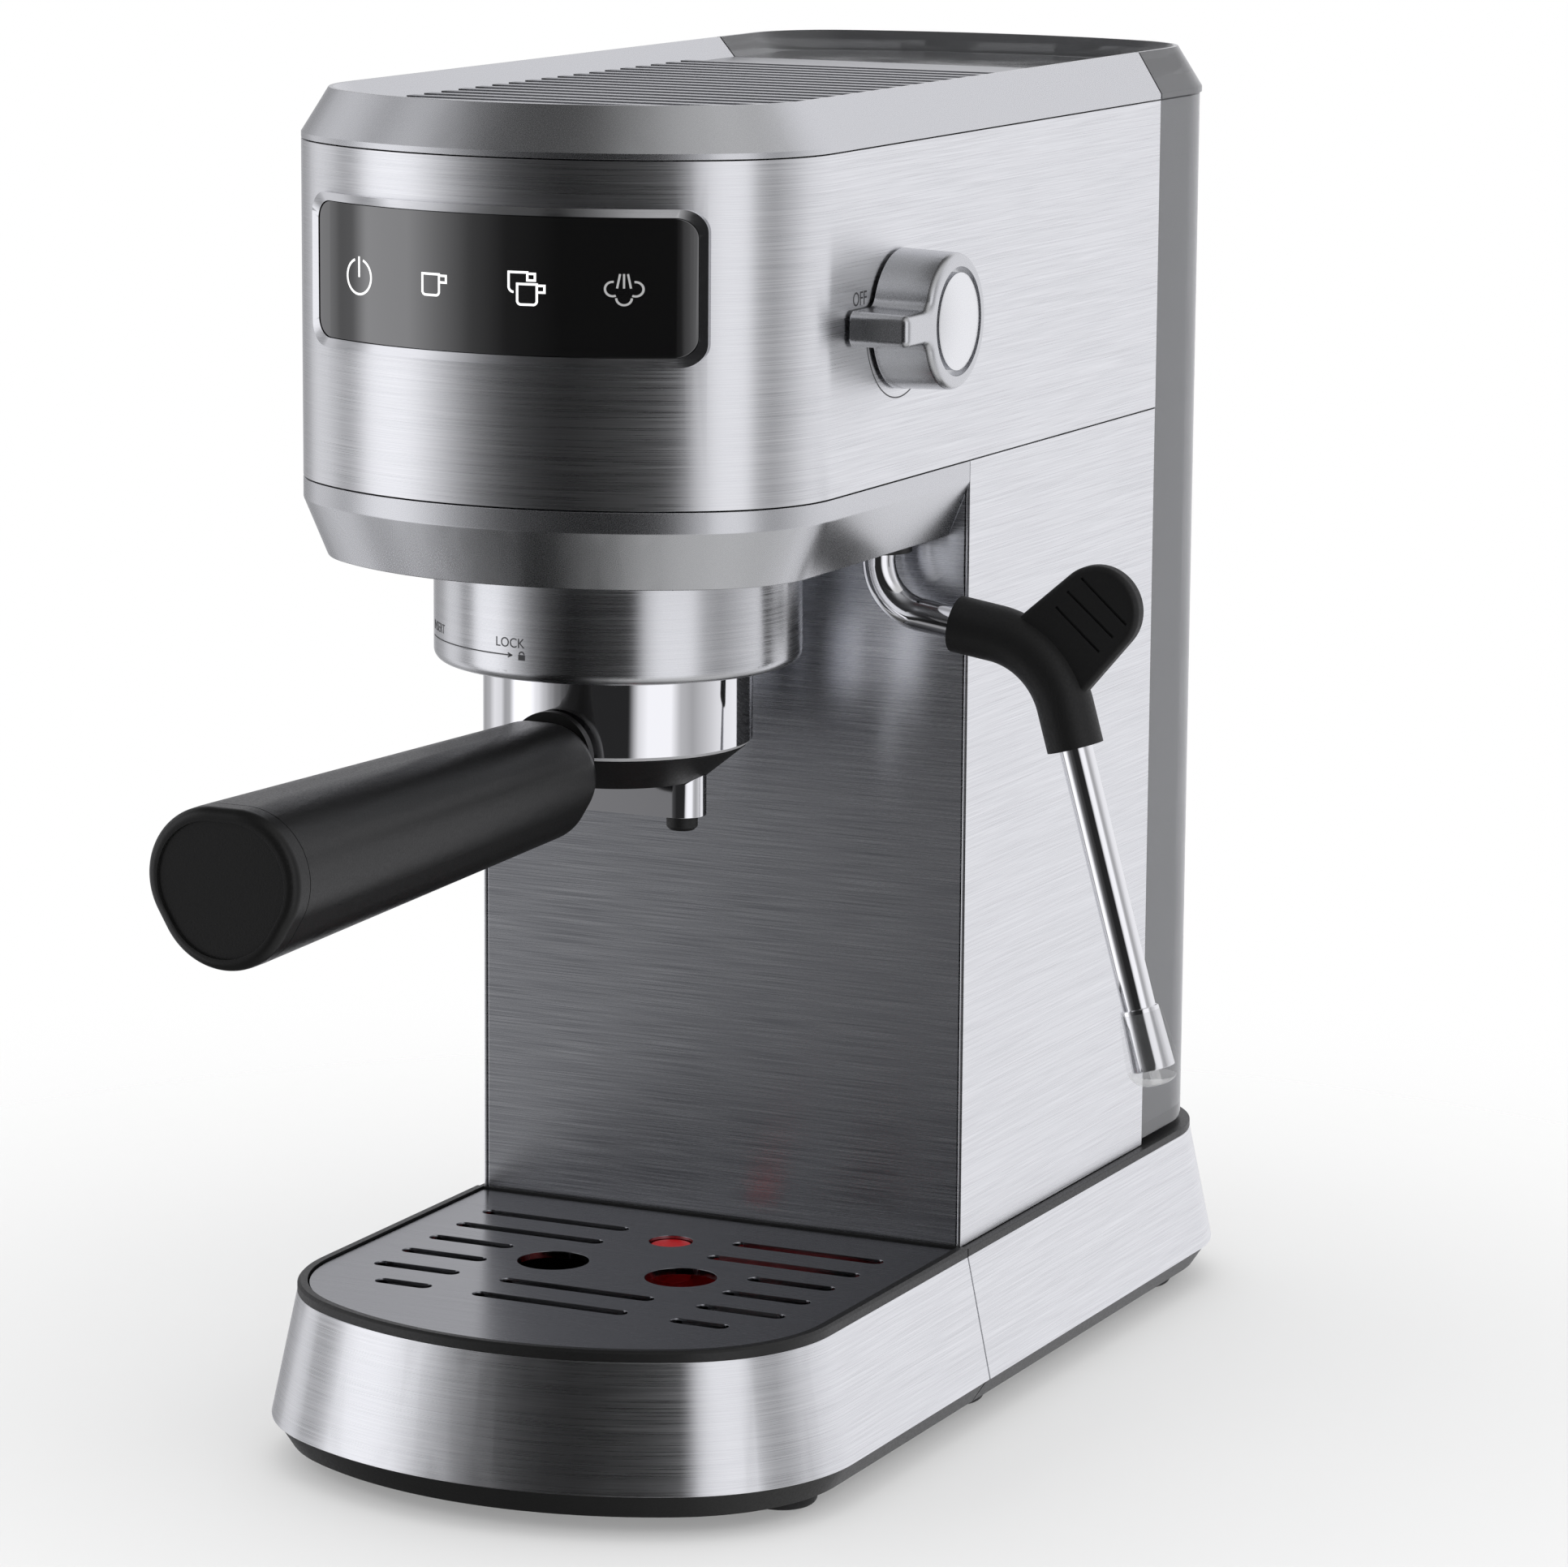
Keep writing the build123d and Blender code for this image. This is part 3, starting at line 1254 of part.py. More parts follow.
with BuildPart() as boiler_bolts:
    with BuildSketch(Plane.XY.offset(boiler_joint_z - boiler_flange)):
        with Locations((0, group_y)):
            with PolarLocations(bolt_circle, boiler_bolt_count):
                Circle(boiler_bolt_radius)
    extrude(amount=2 * boiler_flange + joint_gasket)
    with BuildSketch(Plane.XY.offset(upper_flange_z + boiler_flange)):
        with Locations((0, group_y)):
            with PolarLocations(bolt_circle, boiler_bolt_count):
                Circle(boiler_bolt_head)
    extrude(amount=boiler_bolt_head)

with BuildPart() as thermostats:
    for x in (-thermostat_x, thermostat_x):
        add(round_bar(x, group_y - thermostat_x, thermostat_radius, boiler_top,
                      boiler_top + thermostat_height))

with BuildPart() as steam_pipe:
    add(pipe([(steam_outlet_x, knob_y, boiler_top), (steam_outlet_x, knob_y, steam_line_z),
              (valve_port_x, knob_y, steam_line_z), (valve_port_x, knob_y, knob_z + valve_radius)],
             pipe_bend, pipe_radius, pipe_bore))

with BuildPart() as wand_feed:
    add(pipe([(valve_port_x, knob_y, knob_z - valve_radius), (valve_port_x, knob_y, feed_line_z),
              (wand_x, wand_y, feed_line_z), (wand_x, wand_y, socket_top)], pipe_bend, pipe_radius,
             pipe_bore))

# Control board with its larger components

with BuildPart() as control_board:
    with BuildSketch(Plane.XZ.offset(standoff - frame_front)):
        with Locations((0, control_board_z)):
            Rectangle(control_board_width, control_board_height)
    extrude(amount=board_thickness)
    with BuildSketch(Plane.XZ.offset(standoff - frame_front + board_thickness)):
        with Locations((-relay_x, control_board_z + relay_z), (0, control_board_z + relay_z)):
            Rectangle(relay_width, relay_height)
        with Locations((relay_x, control_board_z - relay_z), (relay_x, control_board_z + relay_z)):
            Circle(capacitor_radius)
        with Locations((-relay_x / 2, control_board_z - relay_z)):
            Rectangle(2 * relay_width, relay_height)
    extrude(amount=relay_depth)

pieces = {
    "bottom_plate": bottom_plate, "base_screws": base_screws, "base_shell": base_shell,
    "rear_skirt": rear_skirt, "cord_gland": cord_gland, "rubber_feet": rubber_feet,
    "tray_skirt": tray_skirt, "tray_body": tray_body, "tray_feet": tray_feet, "drip_grille": drip_grille,
    "tray_float": tray_float, "column_front_panel": column_front_panel,
    "column_side_left": column_side_left, "column_side_right": column_side_right,
    "inner_frame": inner_frame, "head_band": head_band, "head_trim": head_trim, "top_cover": top_cover,
    "display_bezel": display_bezel, "display_glass": display_glass, "display_board": display_board,
    "knob_body": knob_body, "knob_cap": knob_cap, "knob_spindle": knob_spindle,
    "steam_valve": steam_valve, "brew_group": brew_group, "group_collar": group_collar,
    "group_gasket": group_gasket, "shower_screen": shower_screen, "portafilter_bowl": portafilter_bowl,
    "portafilter_underside": portafilter_underside, "filter_basket": filter_basket,
    "basket_spring": basket_spring, "twin_spout": twin_spout, "spout_tips": spout_tips,
    "handle_grip": handle_grip, "handle_cap": handle_cap, "wand_pipe": wand_pipe, "wand_grip": wand_grip,
    "wand_nozzle": wand_nozzle, "wand_tip": wand_tip, "wand_socket": wand_socket,
    "tank_shell": tank_shell, "tank_valve": tank_valve, "tank_lid": tank_lid, "tank_socket": tank_socket,
    "socket_seal": socket_seal, "pump_body": pump_body, "pump_coil": pump_coil,
    "pump_mounts": pump_mounts, "inlet_hose": inlet_hose, "pump_hose": pump_hose,
    "boiler_lower": boiler_lower, "boiler_gasket": boiler_gasket, "boiler_upper": boiler_upper,
    "boiler_bolts": boiler_bolts, "thermostats": thermostats, "steam_pipe": steam_pipe,
    "wand_feed": wand_feed, "control_board": control_board,
}

os.makedirs("parts", exist_ok=True)
for name, piece in pieces.items():
    piece.part.label = name
    export_step(piece.part, f"parts/{name}.step")
print(len(pieces), "pieces written")
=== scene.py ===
# %% [markdown]
# # A slim espresso machine, dressed for its picture
# The shapes and the joints come from a CAD model. Here they get their finishes: brushed steel, silver
# paint, chrome, smoked plastic, black glass and rubber. The lesson starts with the CAD model as a fixed
# frame. Each piece that we add rides on one of its bodies, so that the machine still moves. Sizes
# on the machine are written in millimetres, and mm turns them into Blender's metres. The camera and the
# studio are in metres.

# %% Load the frame
import json
from math import atan2, cos, degrees, hypot, pi, radians, sin

import bpy
from mathutils import Matrix, Vector


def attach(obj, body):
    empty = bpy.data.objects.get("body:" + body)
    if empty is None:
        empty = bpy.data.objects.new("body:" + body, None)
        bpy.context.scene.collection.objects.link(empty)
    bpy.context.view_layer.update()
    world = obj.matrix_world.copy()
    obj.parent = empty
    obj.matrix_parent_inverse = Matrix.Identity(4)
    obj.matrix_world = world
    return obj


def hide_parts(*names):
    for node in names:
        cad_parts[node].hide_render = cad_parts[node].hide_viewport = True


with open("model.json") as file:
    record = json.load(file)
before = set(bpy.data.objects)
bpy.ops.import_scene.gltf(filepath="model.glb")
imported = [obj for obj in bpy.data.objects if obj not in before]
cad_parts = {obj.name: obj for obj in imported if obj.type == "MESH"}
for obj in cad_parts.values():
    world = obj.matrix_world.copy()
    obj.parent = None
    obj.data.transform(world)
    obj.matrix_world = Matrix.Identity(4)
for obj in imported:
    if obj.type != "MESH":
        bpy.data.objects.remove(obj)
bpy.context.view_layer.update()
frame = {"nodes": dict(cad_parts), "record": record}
mm = 0.001

# %% [markdown]
# ## The camera
# The photograph was taken from the front right, a little above the machine, with a long lens. A camera
# could be moved by eye until the picture fits, but then something is always a little off. Matching known
# corners of the machine gave the camera's place, its turn and its lens instead. The turn is written as
# three angles, and we build the camera's own axes from them.

# %% Place the camera
picture_width = 1932
focal_pixels = 7535.56
sensor = 36.0
nearest_seen = 0.05
place = Vector((0.60927, -1.269345, 0.400754))
turn, tilt, roll = radians(25.426), radians(10.507), radians(0.423)
back = Vector((sin(turn) * cos(tilt), -cos(turn) * cos(tilt), sin(tilt)))
sideways = Vector((cos(turn), sin(turn), 0))
rise = back.cross(sideways)
across = sideways * cos(roll) + rise * sin(roll)
upward = rise * cos(roll) - sideways * sin(roll)

bpy.ops.object.select_all(action="DESELECT")
bpy.ops.object.camera_add()
camera = bpy.context.object
camera.matrix_world = Matrix((
    (across.x, upward.x, back.x, place.x), (across.y, upward.y, back.y, place.y),
    (across.z, upward.z, back.z, place.z), (0, 0, 0, 1)))
camera.data.sensor_width = sensor
camera.data.lens = focal_pixels / picture_width * sensor
camera.data.clip_start = nearest_seen
bpy.context.scene.camera = camera
bpy.context.scene.view_settings.view_transform = "Standard"
print("lens", round(camera.data.lens, 1), "mm")

# %% [markdown]
# ## The white room
# The machine stands in a plain white room. Lamps could light it, but each lamp leaves a hot spot and a hard
# shadow. White light from all sides leaves neither, so a matt colour looks as it is written.

# %% Light the room
world = bpy.data.worlds.new("white_room")
bpy.context.scene.world = world
world.use_nodes = True
room_light = world.node_tree.nodes["Background"]
room_light.inputs["Color"].default_value = (1, 1, 1, 1)
room_light.inputs["Strength"].default_value = 1.0
print("room light:", room_light.inputs["Strength"].default_value)

# %% [markdown]
# ## The light tent
# Steel is different: it shows what stands around it. A photographer puts shiny things into a light tent, a
# cloth with bright and dark panels. The curved front then mirrors a bright panel on the left, a dark gap
# ahead and a bright panel on the right, as vertical bands. Separate panels could stand round the machine,
# but they would throw light and shadow on it too. Our tent is a sphere that only mirrors can see. The
# camera, and light that passes through clear plastic, see the white room.

# %% Hang the tent
tent_radius = 4.0
hidden_from = ("camera", "diffuse", "transmission", "shadow", "volume_scatter")
bpy.ops.object.select_all(action="DESELECT")
bpy.ops.mesh.primitive_uv_sphere_add(segments=48, ring_count=24, radius=tent_radius)
tent = bpy.context.object
tent.name = "light_tent"
bpy.ops.object.shade_smooth()
for rays in hidden_from:
    setattr(tent, "visible_" + rays, False)
print("tent radius", tent_radius, "m, hidden from:", ", ".join(hidden_from))

# %% [markdown]
# ## Tools for nodes
# A material is a net of nodes. In the shader editor we would drag nodes in, type their values and pull
# links between their sockets. A few short functions do the same moves, and the nets below stay easy to
# read.

# %% Make the node tools
def bare_material(name):
    """A material whose net is still empty."""
    material = bpy.data.materials.new(name)
    material.use_nodes = True
    material.node_tree.nodes.clear()
    return material


def add_node(material, kind, **settings):
    """Add a node to a material's net and set its own options."""
    node = material.node_tree.nodes.new("ShaderNode" + kind)
    for option, value in settings.items():
        setattr(node, option, value)
    return node


def set_inputs(node, values):
    """Type values into the sockets of a node."""
    for socket, value in values.items():
        node.inputs[socket].default_value = value


def set_stops(ramp, stops):
    """Give a colour ramp its stops, each with a position and a colour."""
    elements = ramp.color_ramp.elements
    while len(elements) > 1:
        elements.remove(elements[-1])
    for number, (position, colour) in enumerate(stops):
        stop = elements[0] if number == 0 else elements.new(position)
        stop.position = position
        stop.color = (*colour, 1)


def connect(material, *wires):
    """Pull links. A wire names a node and its output, then a node and its input."""
    for source, output, target, socket in wires:
        material.node_tree.links.new(source.outputs[output], target.inputs[socket])


print("node tools are ready")

# %% [markdown]
# ## The tent's cloth
# The cloth glows in panels round the compass. Overhead and below there is plain cloth, dark at the left and
# light at the right. A painted picture could be wrapped round the sphere, but a colour ramp is sharper and
# each panel can be moved by one number. A radial gradient gives the compass direction that the ramp reads.

# %% Paint the cloth
# Compass direction in degrees, from the front towards the right, and the brightness of the cloth there
panels = ((-90, 0.74), (-84, 0.36), (-77, 0.42), (-70, 1.20), (-52, 1.14), (-41, 0.66), (-29, 0.22),
          (-17, 0.06), (0, 0.02), (36, 0.02), (44, 0.76), (52, 1.0), (72, 1.0), (81, 0.50), (92, 0.38),
          (106, 0.56), (124, 0.82), (145, 0.90), (205, 0.86), (230, 0.34), (246, 0.45), (258, 0.82),
          (270, 0.74))
# Height as a share of the tent's, and how much of the panels shows there
levels = ((0.0, 0), (0.15, 0), (0.27, 1), (0.78, 1), (0.91, 0))
dark_cloth, light_cloth = 0.08, 0.60
dark_until, light_from = -0.05 * tent_radius, 0.45 * tent_radius
cool_touch = 1.03

cloth = bare_material("tent_cloth")
cloth.cycles.emission_sampling = "NONE"
spot = add_node(cloth, "TexCoord")
compass = add_node(cloth, "TexGradient", gradient_type="RADIAL")
ring = add_node(cloth, "ValToRGB")
set_stops(ring, [((bearing + 90) / 360, (bright, bright, bright * cool_touch)) for bearing, bright in panels])
axes = add_node(cloth, "SeparateXYZ")
height = add_node(cloth, "MapRange")
set_inputs(height, {"From Min": -tent_radius, "From Max": tent_radius})
band = add_node(cloth, "ValToRGB")
band.color_ramp.interpolation = "EASE"
set_stops(band, [(share, (shown, shown, shown)) for share, shown in levels])
plain = add_node(cloth, "MapRange", interpolation_type="SMOOTHSTEP")
set_inputs(plain, {"From Min": dark_until, "From Max": light_from,
                   "To Min": dark_cloth, "To Max": light_cloth})
mixed = add_node(cloth, "Mix", data_type="RGBA")
glow = add_node(cloth, "Emission")
cloth_out = add_node(cloth, "OutputMaterial")
connect(cloth, (spot, "Object", compass, "Vector"), (spot, "Object", axes, "Vector"),
        (compass, "Color", ring, "Fac"), (axes, "Z", height, "Value"), (axes, "X", plain, "Value"),
        (plain, "Result", mixed, "A"), (height, "Result", band, "Fac"), (band, "Color", mixed, "Factor"),
        (ring, "Color", mixed, "B"), (mixed, "Result", glow, "Color"),
        (glow, "Emission", cloth_out, "Surface"))
tent.data.materials.append(cloth)
print("panels in the tent:", len(panels))

# %% [markdown]
# ## The floor
# The machine needs something to stand on, or it seems to float. A large plane would show its edge and its
# own tone. A white disc that fades out with the distance has no edge against the white room, and it still
# catches the soft shadow under the machine. Mirrors look past it, into the tent.

# %% Lay the floor
floor_radius = 0.45
below_feet = 0.0002
fade_out, fade_in = 0.02, 0.65
most_cover = 0.75
bpy.ops.object.select_all(action="DESELECT")
bpy.ops.mesh.primitive_circle_add(vertices=96, radius=floor_radius, fill_type="NGON",
                                  location=(0, 0, -below_feet))
floor = bpy.context.object
floor.name = "floor"
bpy.ops.object.transform_apply(location=True, rotation=True, scale=True)
floor.visible_glossy = False

chalk = bare_material("white_floor")
spot = add_node(chalk, "TexCoord")
shrink = add_node(chalk, "Mapping")
set_inputs(shrink, {"Scale": (1 / floor_radius, 1 / floor_radius, 1 / floor_radius)})
nearness = add_node(chalk, "TexGradient", gradient_type="SPHERICAL")
cover = add_node(chalk, "MapRange", interpolation_type="SMOOTHSTEP")
set_inputs(cover, {"From Min": fade_out, "From Max": fade_in, "To Max": most_cover})
white = add_node(chalk, "BsdfDiffuse")
set_inputs(white, {"Color": (0.97, 0.97, 0.97, 1)})
clear = add_node(chalk, "BsdfTransparent")
faded = add_node(chalk, "MixShader")
chalk_out = add_node(chalk, "OutputMaterial")
connect(chalk, (spot, "Object", shrink, "Vector"), (shrink, "Vector", nearness, "Vector"),
        (nearness, "Fac", cover, "Value"), (cover, "Result", faded, "Fac"), (clear, "BSDF", faded, 1),
        (white, "BSDF", faded, 2), (faded, "Shader", chalk_out, "Surface"))
floor.data.materials.append(chalk)
print("floor radius", floor_radius, "m")

# %% [markdown]
# ## Tools for finishes
# No real surface is even: steel has brush lines, paint has flecks, mouldings have a fine grain. Pictures of
# such surfaces could be laid on, but they need unwrapping and show their edges. Noise in the object's own
# coordinates needs neither. It changes the tone, the roughness and the relief a little, and it can be
# pulled long in the direction of the brushing.

# %% Make the finish tools
grain_low, grain_high = 0.3, 0.7  # nearly all of the noise lies between these


def shader_of(finish):
    """The main shader of a finish."""
    return finish.node_tree.nodes["Principled BSDF"]


def new_finish(name, colour, metallic, roughness):
    """A material with one shader, set to plain values."""
    finish = bpy.data.materials.new(name)
    finish.use_nodes = True
    set_inputs(shader_of(finish), {"Base Color": (*colour, 1), "Metallic": metallic, "Roughness": roughness})
    return finish


def even(cells):
    """Grain that is as fine in all directions."""
    return (cells, cells, cells)


def grain(finish, stretch, detail):
    """Noise that runs fast where stretch is large and slowly where it is small, in cells per metre."""
    coordinates = add_node(finish, "TexCoord")
    mapping = add_node(finish, "Mapping")
    set_inputs(mapping, {"Scale": stretch})
    noise = add_node(finish, "TexNoise")
    set_inputs(noise, {"Scale": 1.0, "Detail": detail})
    connect(finish, (coordinates, "Object", mapping, "Vector"), (mapping, "Vector", noise, "Vector"))
    return noise


def vary(finish, noise, low, high):
    """Let the grain move the roughness between low and high."""
    reach = add_node(finish, "MapRange")
    set_inputs(reach, {"From Min": grain_low, "From Max": grain_high, "To Min": low, "To Max": high})
    connect(finish, (noise, "Fac", reach, "Value"), (reach, "Result", shader_of(finish), "Roughness"))


def tint(finish, noise, dark, light):
    """Let the grain move the colour between a dark and a light tone."""
    ramp = add_node(finish, "ValToRGB")
    set_stops(ramp, ((grain_low, dark), (grain_high, light)))
    connect(finish, (noise, "Fac", ramp, "Fac"), (ramp, "Color", shader_of(finish), "Base Color"))


def relief(finish, noise, strength, distance):
    """Let the grain raise and lower the surface a little."""
    bump = add_node(finish, "Bump")
    set_inputs(bump, {"Strength": strength, "Distance": distance})
    connect(finish, (noise, "Fac", bump, "Height"), (bump, "Normal", shader_of(finish), "Normal"))


print("finish tools are ready")

# %% [markdown]
# ## Brushed steel
# The skirts, the column, the head and the collar are steel sheet, brushed with fine level lines. Along them
# the steel is smooth, and across them it is rough, so a highlight spreads across the lines. Lines could be
# cut into the mesh, but there are thousands. Long noise draws them, and the shader's tangent says which way
# highlights spread: upwards on the walls, whose lines are level, and towards the back on the grille.

# %% Mix the brushed steel
def cool_grey(tone, green=0.005, blue=0.025):
    """A grey with a touch of blue, as steel has."""
    return (tone, tone + green, tone + blue)


def brushed_steel(name, dark, light, lines, spread, rough):
    """Steel with fine lines. Lines is the grain's stretch, spread the way that highlights spread."""
    finish = new_finish(name, light, metallic=1.0, roughness=rough)
    fine = grain(finish, lines, detail=3.0)
    tint(finish, fine, dark, light)
    vary(finish, fine, low=rough - 0.05, high=rough + 0.06)
    relief(finish, fine, strength=0.05, distance=0.0001)
    set_inputs(shader_of(finish), {"Anisotropic": 0.85})
    tangent = add_node(finish, "CombineXYZ")
    set_inputs(tangent, dict(zip("XYZ", spread)))
    connect(finish, (tangent, "Vector", shader_of(finish), "Tangent"))
    return finish


wall_lines, grille_lines = (40, 40, 5600), (30, 5600, 30)
upwards, to_the_back = (0, 0, 1), (0, 1, 0)
front_dark, front_light = cool_grey(0.44, 0.01, 0.04), cool_grey(0.82, 0.01, 0.04)
wall_steel = brushed_steel("brushed_wall_steel", cool_grey(0.68), cool_grey(0.87),
                           wall_lines, upwards, rough=0.30)
front_steel = brushed_steel("brushed_front_steel", front_dark, front_light,
                            wall_lines, upwards, rough=0.24)
grille_steel = brushed_steel("brushed_grille_steel", cool_grey(0.31), cool_grey(0.39),
                             grille_lines, to_the_back, rough=0.22)
collar_steel = brushed_steel("brushed_collar_steel", cool_grey(0.64), cool_grey(0.80),
                             wall_lines, upwards, rough=0.27)
print("steels:", wall_steel.name, front_steel.name, grille_steel.name, collar_steel.name)

# %% [markdown]
# ## Silver paint
# The lid, the lower trim and the knob are plastic under a silver paint with a fine metal fleck. A plain
# grey would look like bare plastic, and a plain metal like polished sheet. Very fine even noise on a metal
# gives the fleck.

# %% Mix the silver paint
def fleck_paint(name, dark, light, rough):
    """Silver paint with a fine metal fleck."""
    finish = new_finish(name, light, metallic=1.0, roughness=rough)
    fleck = grain(finish, even(5200), detail=2.0)
    tint(finish, fleck, dark, light)
    vary(finish, fleck, low=rough - 0.02, high=rough + 0.02)
    relief(finish, fleck, strength=0.03, distance=0.00005)
    return finish


silver_paint = fleck_paint("silver_paint", cool_grey(0.61), cool_grey(0.70), rough=0.27)
# A darker copy of the silver paint for the sunk cup tray: painted shade for the hollow
cup_tray_painted_shade = fleck_paint("silver_paint_with_painted_shade", cool_grey(0.43), cool_grey(0.50), rough=0.30)
cap_dark, cap_light = cool_grey(0.87, blue=0.02), cool_grey(0.93, blue=0.02)
bright_paint = fleck_paint("bright_silver_paint", cap_dark, cap_light, rough=0.28)
print("paints:", silver_paint.name, cup_tray_painted_shade.name, bright_paint.name)

# %% [markdown]
# ## Chrome and plain metals
# The portafilter and the wand are polished chrome, and the bezel is a plain bright metal. Parts inside are
# cast, turned or drawn. One roughness for each would look like foil, so it wanders a little, as handling
# and tools leave it. Only a casting and the painted case of the pump's coil also get a relief.

# %% Mix the metals
def worn_metal(name, colour, low, high, stretch, detail, metallic=1.0, pits=0):
    """Metal whose roughness wanders between low and high. Pits is the strength of a relief."""
    finish = new_finish(name, colour, metallic, roughness=(low + high) / 2)
    haze = grain(finish, stretch, detail)
    vary(finish, haze, low, high)
    if pits:
        relief(finish, haze, pits, distance=0.0003)
    return finish


bezel_metal = worn_metal("bezel_metal", cool_grey(0.72), 0.12, 0.20, (200, 200, 4000), detail=2.0)
# The chamfer under the bowl: a pale, barely metal finish, a painted highlight
chamfer_painted_highlight = worn_metal("chamfer_painted_highlight", cool_grey(0.55, blue=0.02), 0.30, 0.40, even(900), detail=2.0,
                       metallic=0.2)
chrome = worn_metal("polished_chrome", (0.90, 0.90, 0.92), 0.03, 0.06, even(90), detail=3.0)
plain_steel = worn_metal("plain_steel", (0.62, 0.62, 0.63), 0.22, 0.36, even(400), detail=3.0)
brass = worn_metal("turned_brass", (0.62, 0.44, 0.18), 0.22, 0.36, (60, 60, 1500), detail=3.0)
cast_metal = worn_metal("cast_aluminium", (0.55, 0.55, 0.56), 0.38, 0.55, even(900), detail=4.0, pits=0.25)
coil_paint = new_finish("coil_case_paint", (0.30, 0.31, 0.32), metallic=0.4, roughness=0.5)
relief(coil_paint, grain(coil_paint, even(1500), detail=3.0), strength=0.1, distance=0.0002)
print("metals:", bezel_metal.name, chamfer_painted_highlight.name, chrome.name, plain_steel.name, brass.name, cast_metal.name)

# %% [markdown]
# ## Mouldings and rubber
# Black mouldings have a fine spark-eroded grain that breaks up the gloss, and rubber is duller. The grain
# is far too fine to model, so noise gives it as a relief and as a change of roughness.

# %% Mix the mouldings and the rubber
def moulded(name, colour, rough, cells=1800):
    """Moulded plastic or rubber with a fine even grain."""
    finish = new_finish(name, colour, metallic=0.0, roughness=rough)
    fine = grain(finish, even(cells), detail=3.0)
    vary(finish, fine, low=rough - 0.06, high=rough + 0.08)
    relief(finish, fine, strength=0.12, distance=0.0002)
    return finish


black_satin = moulded("black_satin_plastic", (0.007, 0.007, 0.007), rough=0.42)
handle_black = moulded("handle_black_plastic", (0.007, 0.007, 0.007), rough=0.34, cells=2600)
set_inputs(shader_of(handle_black), {"Specular IOR Level": 0.32})
grip_rubber = moulded("grip_rubber", (0.004, 0.004, 0.004), rough=0.55)
foot_rubber = moulded("foot_rubber", (0.010, 0.010, 0.010), rough=0.7)
seal_rubber = moulded("seal_rubber", (0.06, 0.03, 0.025), rough=0.6)
red_plastic = moulded("float_red_plastic", (0.72, 0.008, 0.012), rough=0.35)
pale_plastic = moulded("pale_plastic", (0.78, 0.78, 0.77), rough=0.35)
silicone = moulded("hose_silicone", (0.70, 0.70, 0.68), rough=0.4)
board_green = moulded("circuit_board", (0.02, 0.14, 0.05), rough=0.5, cells=700)
print("finishes so far:", len(bpy.data.materials))

# %% [markdown]
# ## Smoked and clear plastic, black glass
# The tank is smoked clear plastic: light passes through its walls and comes out grey. A see-through surface
# would be quicker, but thick walls need real transmission. The sleeve over the wand's nozzle is thin and
# clear, and there a see-through surface is better, because the chrome behind it still mirrors the tent. The
# display's glass is black behind its polish, so it needs no transmission at all.

# %% Mix the clear plastics and the glass
def smoked(name, colour):
    """Clear plastic with smoke in it."""
    finish = new_finish(name, colour, metallic=0.0, roughness=0.12)
    set_inputs(shader_of(finish), {"Transmission Weight": 0.75, "IOR": 1.49})
    vary(finish, grain(finish, even(60), detail=2.0), low=0.10, high=0.18)
    return finish


def clear_skin(name, colour, alpha):
    """A clear soft sleeve. Alpha says how much of it shows."""
    finish = new_finish(name, colour, metallic=0.0, roughness=0.10)
    set_inputs(shader_of(finish), {"Alpha": alpha})
    vary(finish, grain(finish, even(120), detail=2.0), low=0.06, high=0.14)
    return finish


smoked_tank = smoked("smoked_tank_plastic", (0.30, 0.305, 0.32))
smoked_lid = smoked("smoked_lid_plastic", (0.20, 0.203, 0.212))
sleeve_clear = clear_skin("clear_sleeve", (0.35, 0.355, 0.36), alpha=0.05)
# The sleeve's end: a pale, half see-through colour, painted light
sleeve_end_painted_light = clear_skin("clear_sleeve_painted_light", (0.85, 0.855, 0.86), alpha=0.35)
black_glass = new_finish("black_glass", (0.002, 0.002, 0.002), metallic=0.0, roughness=0.10)
set_inputs(shader_of(black_glass), {"IOR": 2.5})
vary(black_glass, grain(black_glass, even(40), detail=2.0), low=0.04, high=0.08)
print("clear:", smoked_tank.name, smoked_lid.name, sleeve_clear.name, sleeve_end_painted_light.name, black_glass.name)

# %% [markdown]
# ## Light and ink
# The touch signs are lit from behind the glass, and prints are a thin dark ink. Small lamps behind holes
# would be as on the real machine, but they cost much time for little light. A surface with light of its own
# looks the same. Its base is dark, so that the white room adds nothing to a dim sign.

# %% Mix the light and the ink
def lit(name, strength):
    """White light behind the glass."""
    finish = new_finish(name, (0.01, 0.01, 0.01), metallic=0.0, roughness=0.3)
    set_inputs(shader_of(finish), {"Emission Color": (1, 1, 1, 1), "Emission Strength": strength})
    return finish


bright_light = lit("bright_sign_light", strength=1.3)
dim_light = lit("dim_sign_light", strength=0.42)
dark_ink = new_finish("dark_ink", (0.05, 0.05, 0.055), metallic=0.0, roughness=0.5)
relief(dark_ink, grain(dark_ink, even(4000), detail=2.0), strength=0.1, distance=0.00005)
print("finishes:", len(bpy.data.materials))

# %% [markdown]
# ## Handling a piece
# An operator acts on all that is selected. So before each move we select one piece alone. A finished piece
# gets its material and the body that it rides on.

# %% Make the handling tools
def body_of(node):
    """The body that a CAD node rides on."""
    for body, members in frame["record"]["behaviour"]["bodies"].items():
        if node in members:
            return body


def only(piece):
    """Select one piece alone and make it the active one."""
    if bpy.context.object and bpy.context.object.mode != "OBJECT":
        bpy.ops.object.mode_set(mode="OBJECT")
    bpy.ops.object.select_all(action="DESELECT")
    piece.select_set(True)
    bpy.context.view_layer.objects.active = piece


def apply_all(piece):
    """Apply the piece's modifiers in their order."""
    only(piece)
    for modifier in list(piece.modifiers):
        bpy.ops.object.modifier_apply(modifier=modifier.name)


